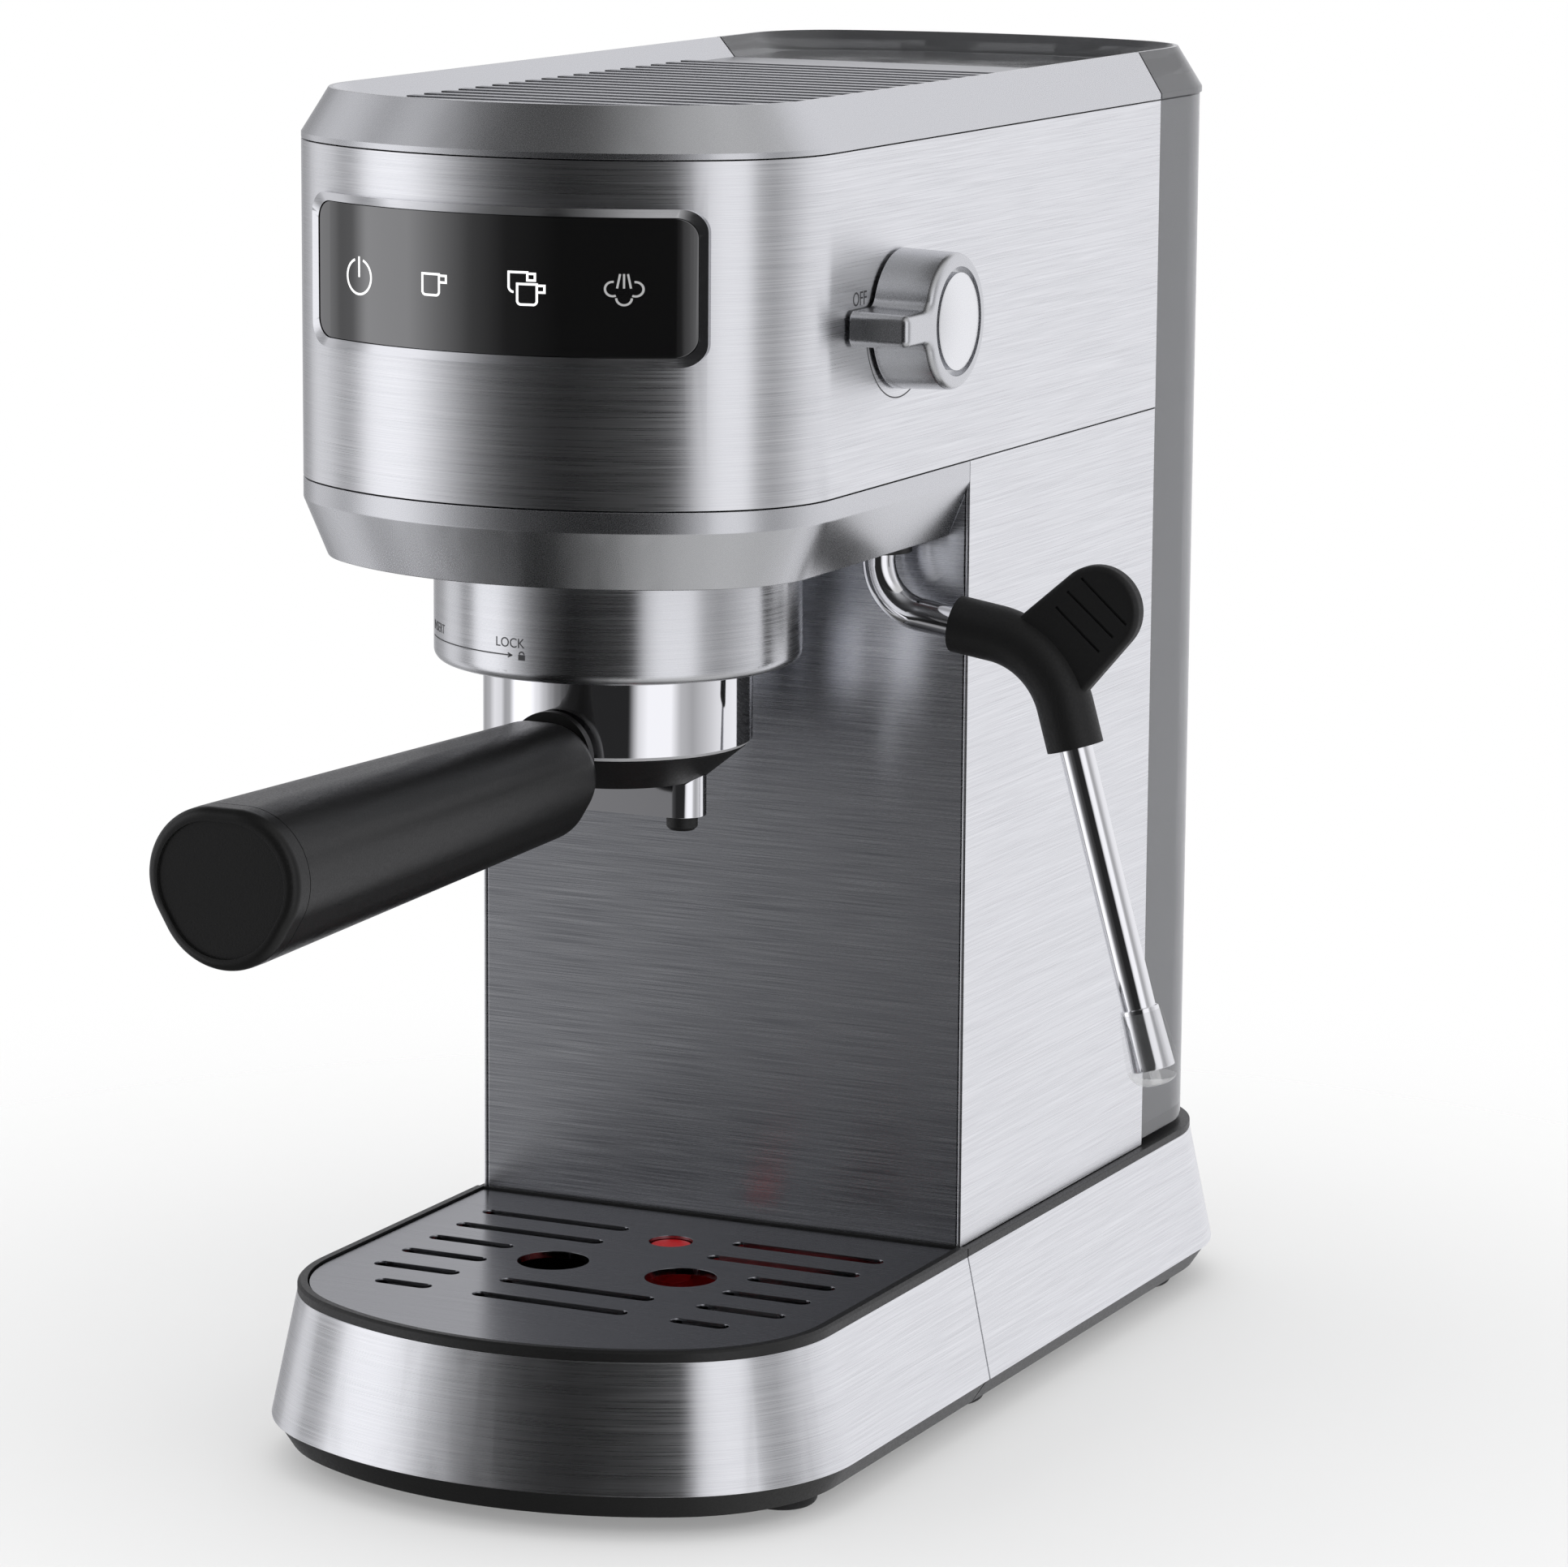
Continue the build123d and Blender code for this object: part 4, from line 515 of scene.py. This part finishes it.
def finish_piece(piece, finish, body):
    """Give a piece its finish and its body."""
    piece.data.materials.clear()
    piece.data.materials.append(finish)
    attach(piece, body)
    print(piece.name, "on", body, "faces:", len(piece.data.polygons))
    return piece


print("handling tools are ready")

# %% [markdown]
# ## Dressing a CAD piece
# A CAD mesh is loose triangles with razor edges. Real edges are never that sharp: a folded sheet or a
# moulding has a small round that catches the light. Each piece could be modelled again with rounds, but
# then it might no longer fit its neighbours. We copy the mesh, merge its points, melt flat triangles
# together, round the edges with a bevel and smooth the shading. The copy then stands for the CAD node.

# %% Make the dressing tool
merge_distance = 0.000002  # metres
flat_angle = radians(0.4)
usual_smooth = 30


def dressed(node, finish, edge, steps=2, smooth=usual_smooth, shape=None):
    """A copy of a CAD node with its edges rounded by edge, in millimetres. It replaces the node.

    Edges that turn by more than smooth, in degrees, are rounded, and the others are shaded smooth.
    Shape is a function that changes the copy before its edges are rounded."""
    piece = bpy.data.objects.new(node + "_dressed", frame["nodes"][node].data.copy())
    bpy.context.scene.collection.objects.link(piece)
    only(piece)
    bpy.ops.object.mode_set(mode="EDIT")
    bpy.ops.mesh.select_all(action="SELECT")
    bpy.ops.mesh.customdata_custom_splitnormals_clear()
    bpy.ops.mesh.remove_doubles(threshold=merge_distance)
    bpy.ops.mesh.dissolve_limited(angle_limit=flat_angle)
    bpy.ops.object.mode_set(mode="OBJECT")
    if shape:
        shape(piece)
    bpy.ops.object.modifier_add(type="BEVEL")
    rounding = piece.modifiers[-1]
    rounding.width = edge * mm
    rounding.segments = steps
    rounding.limit_method = "ANGLE"
    rounding.angle_limit = radians(smooth)
    rounding.use_clamp_overlap = True
    apply_all(piece)
    bpy.ops.object.shade_smooth_by_angle(angle=radians(smooth))
    bpy.ops.object.modifier_add(type="WEIGHTED_NORMAL")
    piece.modifiers[-1].keep_sharp = True
    apply_all(piece)
    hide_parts(node)
    return finish_piece(piece, finish, body_of(node))


print("dressing tool is ready")

# %% [markdown]
# ## Drawing strokes
# Signs and prints are flat strokes. They could be curves with a width, but a curve has to become a mesh in
# the end, and its ends are hard to shape. A straight stroke is a plane pulled long. A curved one is part of
# a circle, widened to a band. Strokes are drawn flat on the ground, across and up as they will be seen.

# %% Make the strokes
def choose(piece, kind, wanted):
    """Go to edit mode with only those vertices or faces selected to which wanted says yes."""
    bpy.ops.object.mode_set(mode="EDIT")
    bpy.ops.mesh.select_mode(type=kind)
    bpy.ops.mesh.select_all(action="DESELECT")
    bpy.ops.object.mode_set(mode="OBJECT")
    for element in (piece.data.polygons if kind == "FACE" else piece.data.vertices):
        element.select = wanted(element)
    bpy.ops.object.mode_set(mode="EDIT")


def bar(start, end, width):
    """A straight stroke from one place to another."""
    run, climb = end[0] - start[0], end[1] - start[1]
    bpy.ops.object.select_all(action="DESELECT")
    bpy.ops.mesh.primitive_plane_add(size=1)
    piece = bpy.context.object
    piece.scale = ((hypot(run, climb) + width) * mm, width * mm, 1)
    piece.rotation_euler = (0, 0, atan2(climb, run))
    piece.location = ((start[0] + end[0]) / 2 * mm, (start[1] + end[1]) / 2 * mm, 0)
    bpy.ops.object.transform_apply(location=True, rotation=True, scale=True)
    bpy.ops.object.mode_set(mode="EDIT")
    bpy.ops.mesh.subdivide(number_cuts=7)
    bpy.ops.object.mode_set(mode="OBJECT")
    return piece


def arc(centre, radius, width, first, last):
    """A curved stroke between two angles in degrees, counted from the right and turning left."""
    inner, outer = radius - width / 2, radius + width / 2
    bpy.ops.object.select_all(action="DESELECT")
    bpy.ops.mesh.primitive_circle_add(vertices=90, radius=outer * mm, fill_type="NOTHING")
    piece = bpy.context.object
    choose(piece, "VERT", lambda point: (degrees(atan2(point.co.y, point.co.x)) - first) % 360 > last - first)
    bpy.ops.mesh.delete(type="VERT")
    bpy.ops.mesh.select_all(action="SELECT")
    bpy.ops.mesh.extrude_edges_move()
    bpy.ops.transform.resize(value=(inner / outer, inner / outer, 1), center_override=(0, 0, 0))
    bpy.ops.object.mode_set(mode="OBJECT")
    if piece.data.polygons[0].normal.z < 0:
        bpy.ops.object.mode_set(mode="EDIT")
        bpy.ops.mesh.select_all(action="SELECT")
        bpy.ops.mesh.flip_normals()
        bpy.ops.object.mode_set(mode="OBJECT")
    piece.location = (centre[0] * mm, centre[1] * mm, 0)
    bpy.ops.object.transform_apply(location=True, rotation=False, scale=False)
    return piece


print("strokes are ready")

# %% [markdown]
# ## Words, and making one piece
# Printed words are plain capitals. Letters could be drawn from strokes, but Blender's own font has good
# ones. The text becomes a mesh before it is stretched to the size that the print has. Then all strokes of a
# sign or print are joined, because they are one piece on the machine.

# %% Make the words
def words(text, low, high):
    """A word on the ground, fitted between two corners."""
    bpy.ops.object.select_all(action="DESELECT")
    bpy.ops.object.text_add()
    bpy.context.object.data.body = text
    bpy.ops.object.convert(target="MESH")
    piece = bpy.context.object
    across_word = [vertex.co.x for vertex in piece.data.vertices]
    up_word = [vertex.co.y for vertex in piece.data.vertices]
    wide = (high[0] - low[0]) * mm / (max(across_word) - min(across_word))
    tall = (high[1] - low[1]) * mm / (max(up_word) - min(up_word))
    piece.scale = (wide, tall, 1)
    piece.location = (low[0] * mm - min(across_word) * wide, low[1] * mm - min(up_word) * tall, 0)
    bpy.ops.object.transform_apply(location=True, rotation=True, scale=True)
    return piece


def joined(name, strokes):
    """Make one piece of several."""
    only(strokes[0])
    for stroke in strokes[1:]:
        stroke.select_set(True)
    bpy.ops.object.join()
    piece = bpy.context.object
    piece.name = name
    piece.data.name = name
    return piece


print("words are ready")

# %% [markdown]
# ## Putting a drawing on the machine
# A drawing has to follow a curved glass or collar. It could be bent by hand, but a Shrinkwrap presses it
# onto the very surface that it lies on. We stand the drawing up in front of that surface, press it on, keep
# it a hair off so that the two don't flicker, and give it a thin body.

# %% Make the placing tools
def stood_up(piece, place, turn):
    """Stand a flat drawing up: at a place, turned about the upright."""
    only(piece)
    piece.rotation_euler = (pi / 2, 0, turn)
    piece.location = [value * mm for value in place]
    bpy.ops.object.transform_apply(location=True, rotation=True, scale=True)
    return piece


def pressed_on(piece, surface, lift):
    """Press a drawing that faces the front onto a surface behind it, and keep it a little off."""
    only(piece)
    bpy.ops.object.modifier_add(type="SHRINKWRAP")
    press = piece.modifiers[-1]
    press.target = surface
    press.wrap_method = "PROJECT"
    press.wrap_mode = "ABOVE_SURFACE"
    press.use_project_y = True
    press.use_positive_direction = True
    press.use_negative_direction = False
    press.offset = lift * mm
    apply_all(piece)
    return piece


def thickened(piece, depth):
    """Give a drawing a thin body behind its face, so that it is closed."""
    only(piece)
    bpy.ops.object.modifier_add(type="SOLIDIFY")
    piece.modifiers[-1].thickness = depth * mm
    piece.modifiers[-1].offset = -1
    apply_all(piece)
    return piece


print("placing tools are ready")

# %% [markdown]
# ## Base and drip tray
# The skirts are brushed sheet with folded edges. The deck rim, the tray and the bottom trim are black
# mouldings with softer ones. The grille is a pressed sheet, and its slots leave room only for a small
# round. The red float shows when the tray is full. All of them have their shape from CAD, so they only need
# rounds and finishes.

# %% Dress the base and the tray
for node in ("rear_skirt", "tray_skirt"):
    dressed(node, wall_steel, edge=0.3)
for node in ("base_shell", "bottom_plate", "tray_body"):
    dressed(node, black_satin, edge=0.4)
dressed("drip_grille", grille_steel, edge=0.15)
dressed("tray_float", red_plastic, edge=0.8)
for node in ("rubber_feet", "tray_feet"):
    dressed(node, foot_rubber, edge=0.5)
dressed("cord_gland", black_satin, edge=0.4)

# %% [markdown]
# ## Column, head and lid
# The side panels wrap the column and show a thin bright edge at the front corner. The front panel is a
# darker sheet. The head band has the same brushing all the way round. The trim and the lid are bevelled in
# flat planes that meet at low angles. Smoothed at the usual angle they would look wavy, so only very low
# angles are smoothed.

# %% Dress the column and the head
flat_planes = 12
for node in ("column_side_left", "column_side_right", "head_band"):
    dressed(node, wall_steel, edge=0.25)
dressed("column_front_panel", front_steel, edge=0.2)
dressed("head_trim", silver_paint, edge=0.2, smooth=flat_planes)
lid = dressed("top_cover", silver_paint, edge=0.2, smooth=flat_planes)
dressed("inner_frame", black_satin, edge=0.3)

# %% [markdown]
# ## The cup tray in the lid
# Cups stand on a ribbed floor that is sunk into the lid. The shade in this hollow is painted into its finish:
# the same silver paint, darker, and a little rougher than that of the rim round it. The floor could be a
# piece of its own, but on the machine it is one moulding with the lid. So the lid gets a second finish with
# the painted shade, and we pick the faces by their height.

# %% Paint the cup tray
tray_low, tray_high = 302, 303.6
ribs_half_width, ribs_front = 50.2, -112
nearly_level = 0.95


def paint_faces(piece, finish, wanted):
    """Give a second finish to those faces to which wanted says yes."""
    piece.data.materials.append(finish)
    chosen = [face for face in piece.data.polygons if wanted(face)]
    for face in chosen:
        face.material_index = 1
    print(piece.name, "faces in", finish.name, len(chosen))


def in_cup_tray(face):
    """Whether a face of the lid is on the sunk floor or on a rib."""
    middle = face.center / mm
    among_ribs = abs(middle.x) < ribs_half_width and middle.y > ribs_front
    return tray_low < middle.z < tray_high and (face.normal.z > nearly_level or among_ribs)


# The tray's faces get the darker copy of the paint: painted shade
paint_faces(lid, cup_tray_painted_shade, in_cup_tray)

# %% [markdown]
# ## Display
# A bright metal frame holds a strip of black glass, and its face slopes down to the glass. In CAD that face
# follows the curve of the head, in narrow facets. Pushing its inner edge back alone would leave strips of it
# where they were, because some facets end only on the outer edge. So the old face is deleted, the inner
# edge goes back, and a bridge between the two edges makes the sloping face.

# %% Dress the display
head_centre = -60.5  # the middle of the head's front curve, from front to back
bezel_front = 80.9  # the bezel's face lies just farther from that middle
opening_half_width, opening_low, opening_high = 45.7, 254.6, 284.2
slope_depth = 0.75


def at_front(vertex):
    """Whether a vertex is on the bezel's face."""
    return hypot(vertex.co.x / mm, vertex.co.y / mm - head_centre) > bezel_front


def at_opening(vertex):
    """Whether a vertex is on the inner edge of the bezel's face."""
    spot = vertex.co / mm
    return at_front(vertex) and abs(spot.x) < opening_half_width and opening_low < spot.z < opening_high


def slope_face(piece):
    """Make the bezel's face anew, from its outer edge to an inner edge that is pushed back to the glass."""
    choose(piece, "FACE", lambda face: all(at_front(piece.data.vertices[corner]) for corner in face.vertices))
    bpy.ops.mesh.delete(type="FACE")
    choose(piece, "VERT", at_opening)
    bpy.ops.transform.translate(value=(0, slope_depth * mm, 0))
    bpy.ops.mesh.select_mode(type="EDGE")
    bpy.ops.mesh.select_all(action="DESELECT")
    bpy.ops.mesh.select_non_manifold(extend=False, use_wire=False, use_multi_face=False,
                                     use_non_contiguous=False, use_verts=False)
    bpy.ops.mesh.bridge_edge_loops()
    bpy.ops.mesh.select_all(action="SELECT")
    bpy.ops.mesh.normals_make_consistent(inside=False)
    bpy.ops.object.mode_set(mode="OBJECT")


dressed("display_bezel", bezel_metal, edge=0.15, shape=slope_face)
glass = dressed("display_glass", black_glass, edge=0.15)

# %% [markdown]
# ## Touch signs
# Four signs glow white on the glass: power, one cup, two cups and steam. Steam is dimmer, because the
# boiler isn't hot yet. A picture on the glass could show them, but it would blur close up. Line strokes
# stay sharp. Each is drawn at its own place across and up the machine.

# %% Draw the cups and the power sign
sign_line = 0.5
corner_bend = 0.8
ear_drop, ear_below_top = 1.4, 0.25


def ear_of(start, top, reach):
    """The ear of a cup: a small open square."""
    end, bottom = start + reach, top - ear_drop
    return [bar((start, top), (end, top), sign_line), bar((end, top), (end, bottom), sign_line),
            bar((start, bottom), (end, bottom), sign_line)]


def cup(left, right, top, bottom, ear):
    """A cup in outline, with round lower corners and a square ear on its right."""
    bend_left, bend_right, bend_level = left + corner_bend, right - corner_bend, bottom + corner_bend
    return [
        bar((left, top), (right, top), sign_line), bar((left, top), (left, bend_level), sign_line),
        bar((right, top), (right, bend_level), sign_line),
        bar((bend_left, bottom), (bend_right, bottom), sign_line),
        arc((bend_left, bend_level), corner_bend, sign_line, first=180, last=270),
        arc((bend_right, bend_level), corner_bend, sign_line, first=270, last=360),
        *ear_of(right, top - ear_below_top, ear)]


power_middle, power_radius = (-31.4, 268.75), 3.75
stroke_across, stroke_top, stroke_bottom = -31.35, 272.8, 268.9
power = [arc(power_middle, power_radius, sign_line, first=107, last=433),
         bar((stroke_across, stroke_top), (stroke_across, stroke_bottom), sign_line)]
one_cup = cup(left=-13.1, right=-8.8, top=270.85, bottom=266.4, ear=1.75)
pair_ear = 1.65
two_cups = cup(left=9.75, right=14.05, top=269.8, bottom=265.5, ear=pair_ear)
# The second cup shows only where the first doesn't hide it
behind_left, behind_right, behind_top = 7.85, 12.0, 272.25
behind_bend_level, behind_bend, behind_end = 269.2, 1.1, 270.7
two_cups += [
    bar((behind_left, behind_top), (behind_right, behind_top), sign_line),
    bar((behind_left, behind_top), (behind_left, behind_bend_level), sign_line),
    bar((behind_right, behind_top), (behind_right, behind_end), sign_line),
    arc((behind_left + behind_bend, behind_bend_level), behind_bend, sign_line, first=180, last=270),
    *ear_of(behind_right, behind_top - ear_below_top, pair_ear)]
print("strokes:", len(power), len(one_cup), len(two_cups))

# %% [markdown]
# ## The steam sign, and all signs on the glass
# The sign for steam is a cloud of three round puffs with three wisps above it. The puffs are open arcs that
# end where they meet. All four signs are then stood up in front of the glass and pressed onto it.

# %% Draw the steam sign and place the signs
steam_middle, wisp_top, wisp_bottom, wisp_line = 31.8, 272.2, 269.6, 0.42
puff_radius, puff_line = 1.5, 0.45
in_front_of_glass = -145
sign_lift, sign_depth = 0.04, 0.03
# How far a wisp's two ends are from the middle, and a puff's place from the middle, height and two angles
wisps = ((-0.8, -1.3), (0, 0), (0.8, 1.3))
puffs = ((-2.2, 269.25, 80, 298), (2.2, 269.25, 242, 460), (0, 267.4, 178, 362))
steam = [bar((steam_middle + head, wisp_top), (steam_middle + foot, wisp_bottom), wisp_line)
         for head, foot in wisps]
steam += [arc((steam_middle + aside, up), puff_radius, puff_line, first, last)
          for aside, up, first, last in puffs]
for name, strokes, finish in (("power_sign", power, bright_light), ("one_cup_sign", one_cup, bright_light),
                              ("two_cups_sign", two_cups, bright_light), ("steam_sign", steam, dim_light)):
    sign = stood_up(joined(name, strokes), (0, in_front_of_glass, 0), 0)
    thickened(pressed_on(sign, glass, sign_lift), sign_depth)
    finish_piece(sign, finish, "machine")

# %% [markdown]
# ## Knob
# The steam knob is a thick disc with a lever on one side and a bright domed cap in its face. The hand turns
# it, so its edges are rounder than most. A third step in the bevel keeps such a wide round from looking
# faceted.

# %% Dress the knob
dressed("knob_body", silver_paint, edge=0.9, steps=3)
dressed("knob_cap", bright_paint, edge=0.3)

# %% [markdown]
# ## Print round the knob
# A thin arc on the side of the head shows how far the knob turns, and a word marks where the steam is off.
# The side is flat there, so the print only has to stand a hair off it, with no need for a Shrinkwrap.

# %% Print the knob's arc
ink_lift, ink_depth = 0.03, 0.02
head_side = 62.0
knob_middle, print_radius, print_line = (-61.5, 258.0), 17.3, 0.3
off_word = words("OFF", (-85.5, 262.6), (-78.6, 265.6))
turn_arc = arc(knob_middle, print_radius, print_line, first=186, last=315)
knob_print = stood_up(joined("knob_print", [off_word, turn_arc]), (head_side + ink_lift, 0, 0), pi / 2)
thickened(knob_print, ink_depth)
finish_piece(knob_print, dark_ink, "machine")

# %% [markdown]
# ## Brew group and portafilter
# The collar is brushed steel, the bowl is chrome, its underside and the handle are black. A bright highlight
# runs round the chamfer below the bowl. As chrome it would mirror the dark below and the red float, so the
# highlight is painted on: its faces get a light satin finish whose pale colour is a painted highlight.

# %% Dress the group and the portafilter
group_middle = -74  # the middle of the brew group, from front to back
chamfer_inner, chamfer_outer = 28, 32
chamfer_low, chamfer_high = 161, 165
looking_down = -0.3


def on_lower_chamfer(face):
    """Whether a face of the bowl is on the chamfer below it."""
    spot = face.center / mm
    out = hypot(spot.x, spot.y - group_middle)
    in_ring = chamfer_inner < out < chamfer_outer and chamfer_low < spot.z < chamfer_high
    return in_ring and face.normal.z < looking_down


collar = dressed("group_collar", collar_steel, edge=0.3)
dressed("brew_group", cast_metal, edge=0.3)
bowl = dressed("portafilter_bowl", chrome, edge=0.05)
# The chamfer's faces get the pale finish: a painted highlight
paint_faces(bowl, chamfer_painted_highlight, on_lower_chamfer)
dressed("portafilter_underside", black_satin, edge=0.5)
dressed("twin_spout", chrome, edge=0.5)
dressed("spout_tips", grip_rubber, edge=0.2)
dressed("handle_grip", handle_black, edge=0.3)
dressed("handle_cap", handle_black, edge=0.08)

# %% [markdown]
# ## Print on the collar
# Two words and an arrow show which way to turn the portafilter, and a padlock marks the locked end. The
# collar is round, so the print is pressed onto it. One long bar would cut the corner, so the arrow's shaft
# is a row of short ones.

# %% Print the collar
arrow_start, arrow_tip, arrow_level, arrow_line = -33.5, -5.2, 186.2, 0.28
shaft_part, shaft_parts = 2.8, 10
barb_back, barb_out = 0.9, 0.4
lock_left, lock_right, lock_level, lock_height = -2.9, -2.4, 185.85, 1.2
shackle_middle, shackle_radius = (-2.65, 186.5), 0.6
in_front_of_collar = -118
insert_word = words("INSERT", (-33.4, 187.7), (-27.1, 189.8))
lock_word = words("LOCK", (-9.4, 187.9), (-1.9, 190.0))
stops = [arrow_start + shaft_part * part for part in range(shaft_parts + 1)]
shaft = [bar((here, arrow_level), (there, arrow_level), arrow_line) for here, there in zip(stops, stops[1:])]
barbs = [bar((arrow_tip, arrow_level), (arrow_tip - barb_back, arrow_level + side), print_line)
         for side in (barb_out, -barb_out)]
padlock = [bar((lock_left, lock_level), (lock_right, lock_level), lock_height),
           arc(shackle_middle, shackle_radius, print_line, first=0, last=180)]
collar_print = joined("collar_print", [insert_word, lock_word, *shaft, *barbs, *padlock])
stood_up(collar_print, (0, in_front_of_collar, 0), 0)
thickened(pressed_on(collar_print, collar, ink_lift), ink_depth)
finish_piece(collar_print, dark_ink, "machine")

# %% [markdown]
# ## Steam wand
# A chrome pipe carries a black rubber grip and a flared chrome nozzle. A clear sleeve sits over the nozzle.
# Round the chrome it hardly shows. Below the nozzle's end, where nothing is behind it, the light that it
# catches is painted on as a pale colour. One finish can't do both, so the faces below the end get a second
# one.

# %% Dress the wand
dressed("wand_pipe", chrome, edge=0.2)
grip = dressed("wand_grip", grip_rubber, edge=0.5)
nozzle = dressed("wand_nozzle", chrome, edge=0.3)
sleeve = dressed("wand_tip", sleeve_clear, edge=0.2)
nozzle_end = min(vertex.co.z for vertex in nozzle.data.vertices)
# Faces below the nozzle's end get the pale finish: painted light
paint_faces(sleeve, sleeve_end_painted_light, lambda face: face.center.z < nozzle_end)
dressed("wand_socket", black_satin, edge=0.3)

# %% [markdown]
# ## Grooves in the paddle
# Three shallow grooves in the grip's paddle give the finger a hold. A dark line could be printed instead,
# but it would catch no light at its edges. Three thin boxes are turned to the paddle's slant, and a Boolean
# cuts them out of its face.

# %% Cut the grooves
paddle_face = -34.5
groove_width, cutter_depth = 0.6, 1.0  # half of the cutter is in front of the face
groove_ends = (((94.6, 199.6), (105.4, 189.9)), ((91.3, 196.4), (102.3, 186.9)),
               ((88.6, 192.7), (99.1, 183.4)))
cutters = []
for start, end in groove_ends:
    run, climb = end[0] - start[0], end[1] - start[1]
    bpy.ops.object.select_all(action="DESELECT")
    bpy.ops.mesh.primitive_cube_add(size=1)
    cutter = bpy.context.object
    cutter.scale = (hypot(run, climb) * mm, cutter_depth * mm, groove_width * mm)
    cutter.rotation_euler = (0, -atan2(climb, run), 0)
    cutter.location = ((start[0] + end[0]) / 2 * mm, paddle_face * mm, (start[1] + end[1]) / 2 * mm)
    bpy.ops.object.transform_apply(location=True, rotation=True, scale=True)
    cutters.append(cutter)
groove_cutter = joined("groove_cutter", cutters)
only(grip)
bpy.ops.object.modifier_add(type="BOOLEAN")
cut = grip.modifiers[-1]
cut.operation = "DIFFERENCE"
cut.solver = "EXACT"
cut.object = groove_cutter
apply_all(grip)
bpy.ops.object.shade_smooth_by_angle(angle=radians(usual_smooth))
bpy.data.objects.remove(groove_cutter)
print("grooves:", len(groove_ends), "grip faces:", len(grip.data.polygons))

# %% [markdown]
# ## Water tank
# The tank and its lid are smoked clear plastic, so that the water's level shows. They have real walls from
# CAD, as transmission needs: a single surface would look like a solid block. The lid is in flat planes,
# like the lid of the head. The valve in the tank's floor is pale plastic.

# %% Dress the tank
dressed("tank_shell", smoked_tank, edge=0.4)
dressed("tank_lid", smoked_lid, edge=0.3, smooth=15)
dressed("tank_valve", pale_plastic, edge=0.3)

# %% [markdown]
# ## What is inside
# Pump, boiler, pipes and boards are hidden unless the machine is taken apart. Rounds on them would cost
# triangles that nobody sees, so they keep their CAD shape and only get a finish.

# %% Finish the inner pieces
inside = {
    plain_steel: ("base_screws", "filter_basket", "shower_screen", "basket_spring", "knob_spindle",
                  "boiler_bolts"),
    cast_metal: ("boiler_lower", "boiler_upper"),
    brass: ("steam_valve", "steam_pipe", "wand_feed"),
    coil_paint: ("pump_coil",),
    black_satin: ("tank_socket", "thermostats", "pump_body"),
    seal_rubber: ("group_gasket", "socket_seal", "pump_mounts", "boiler_gasket"),
    silicone: ("inlet_hose", "pump_hose"),
    board_green: ("display_board", "control_board"),
}
for finish, names in inside.items():
    for name in names:
        node = frame["nodes"][name]
        node.data.materials.clear()
        node.data.materials.append(finish)
print("inner pieces:", sum(len(names) for names in inside.values()))
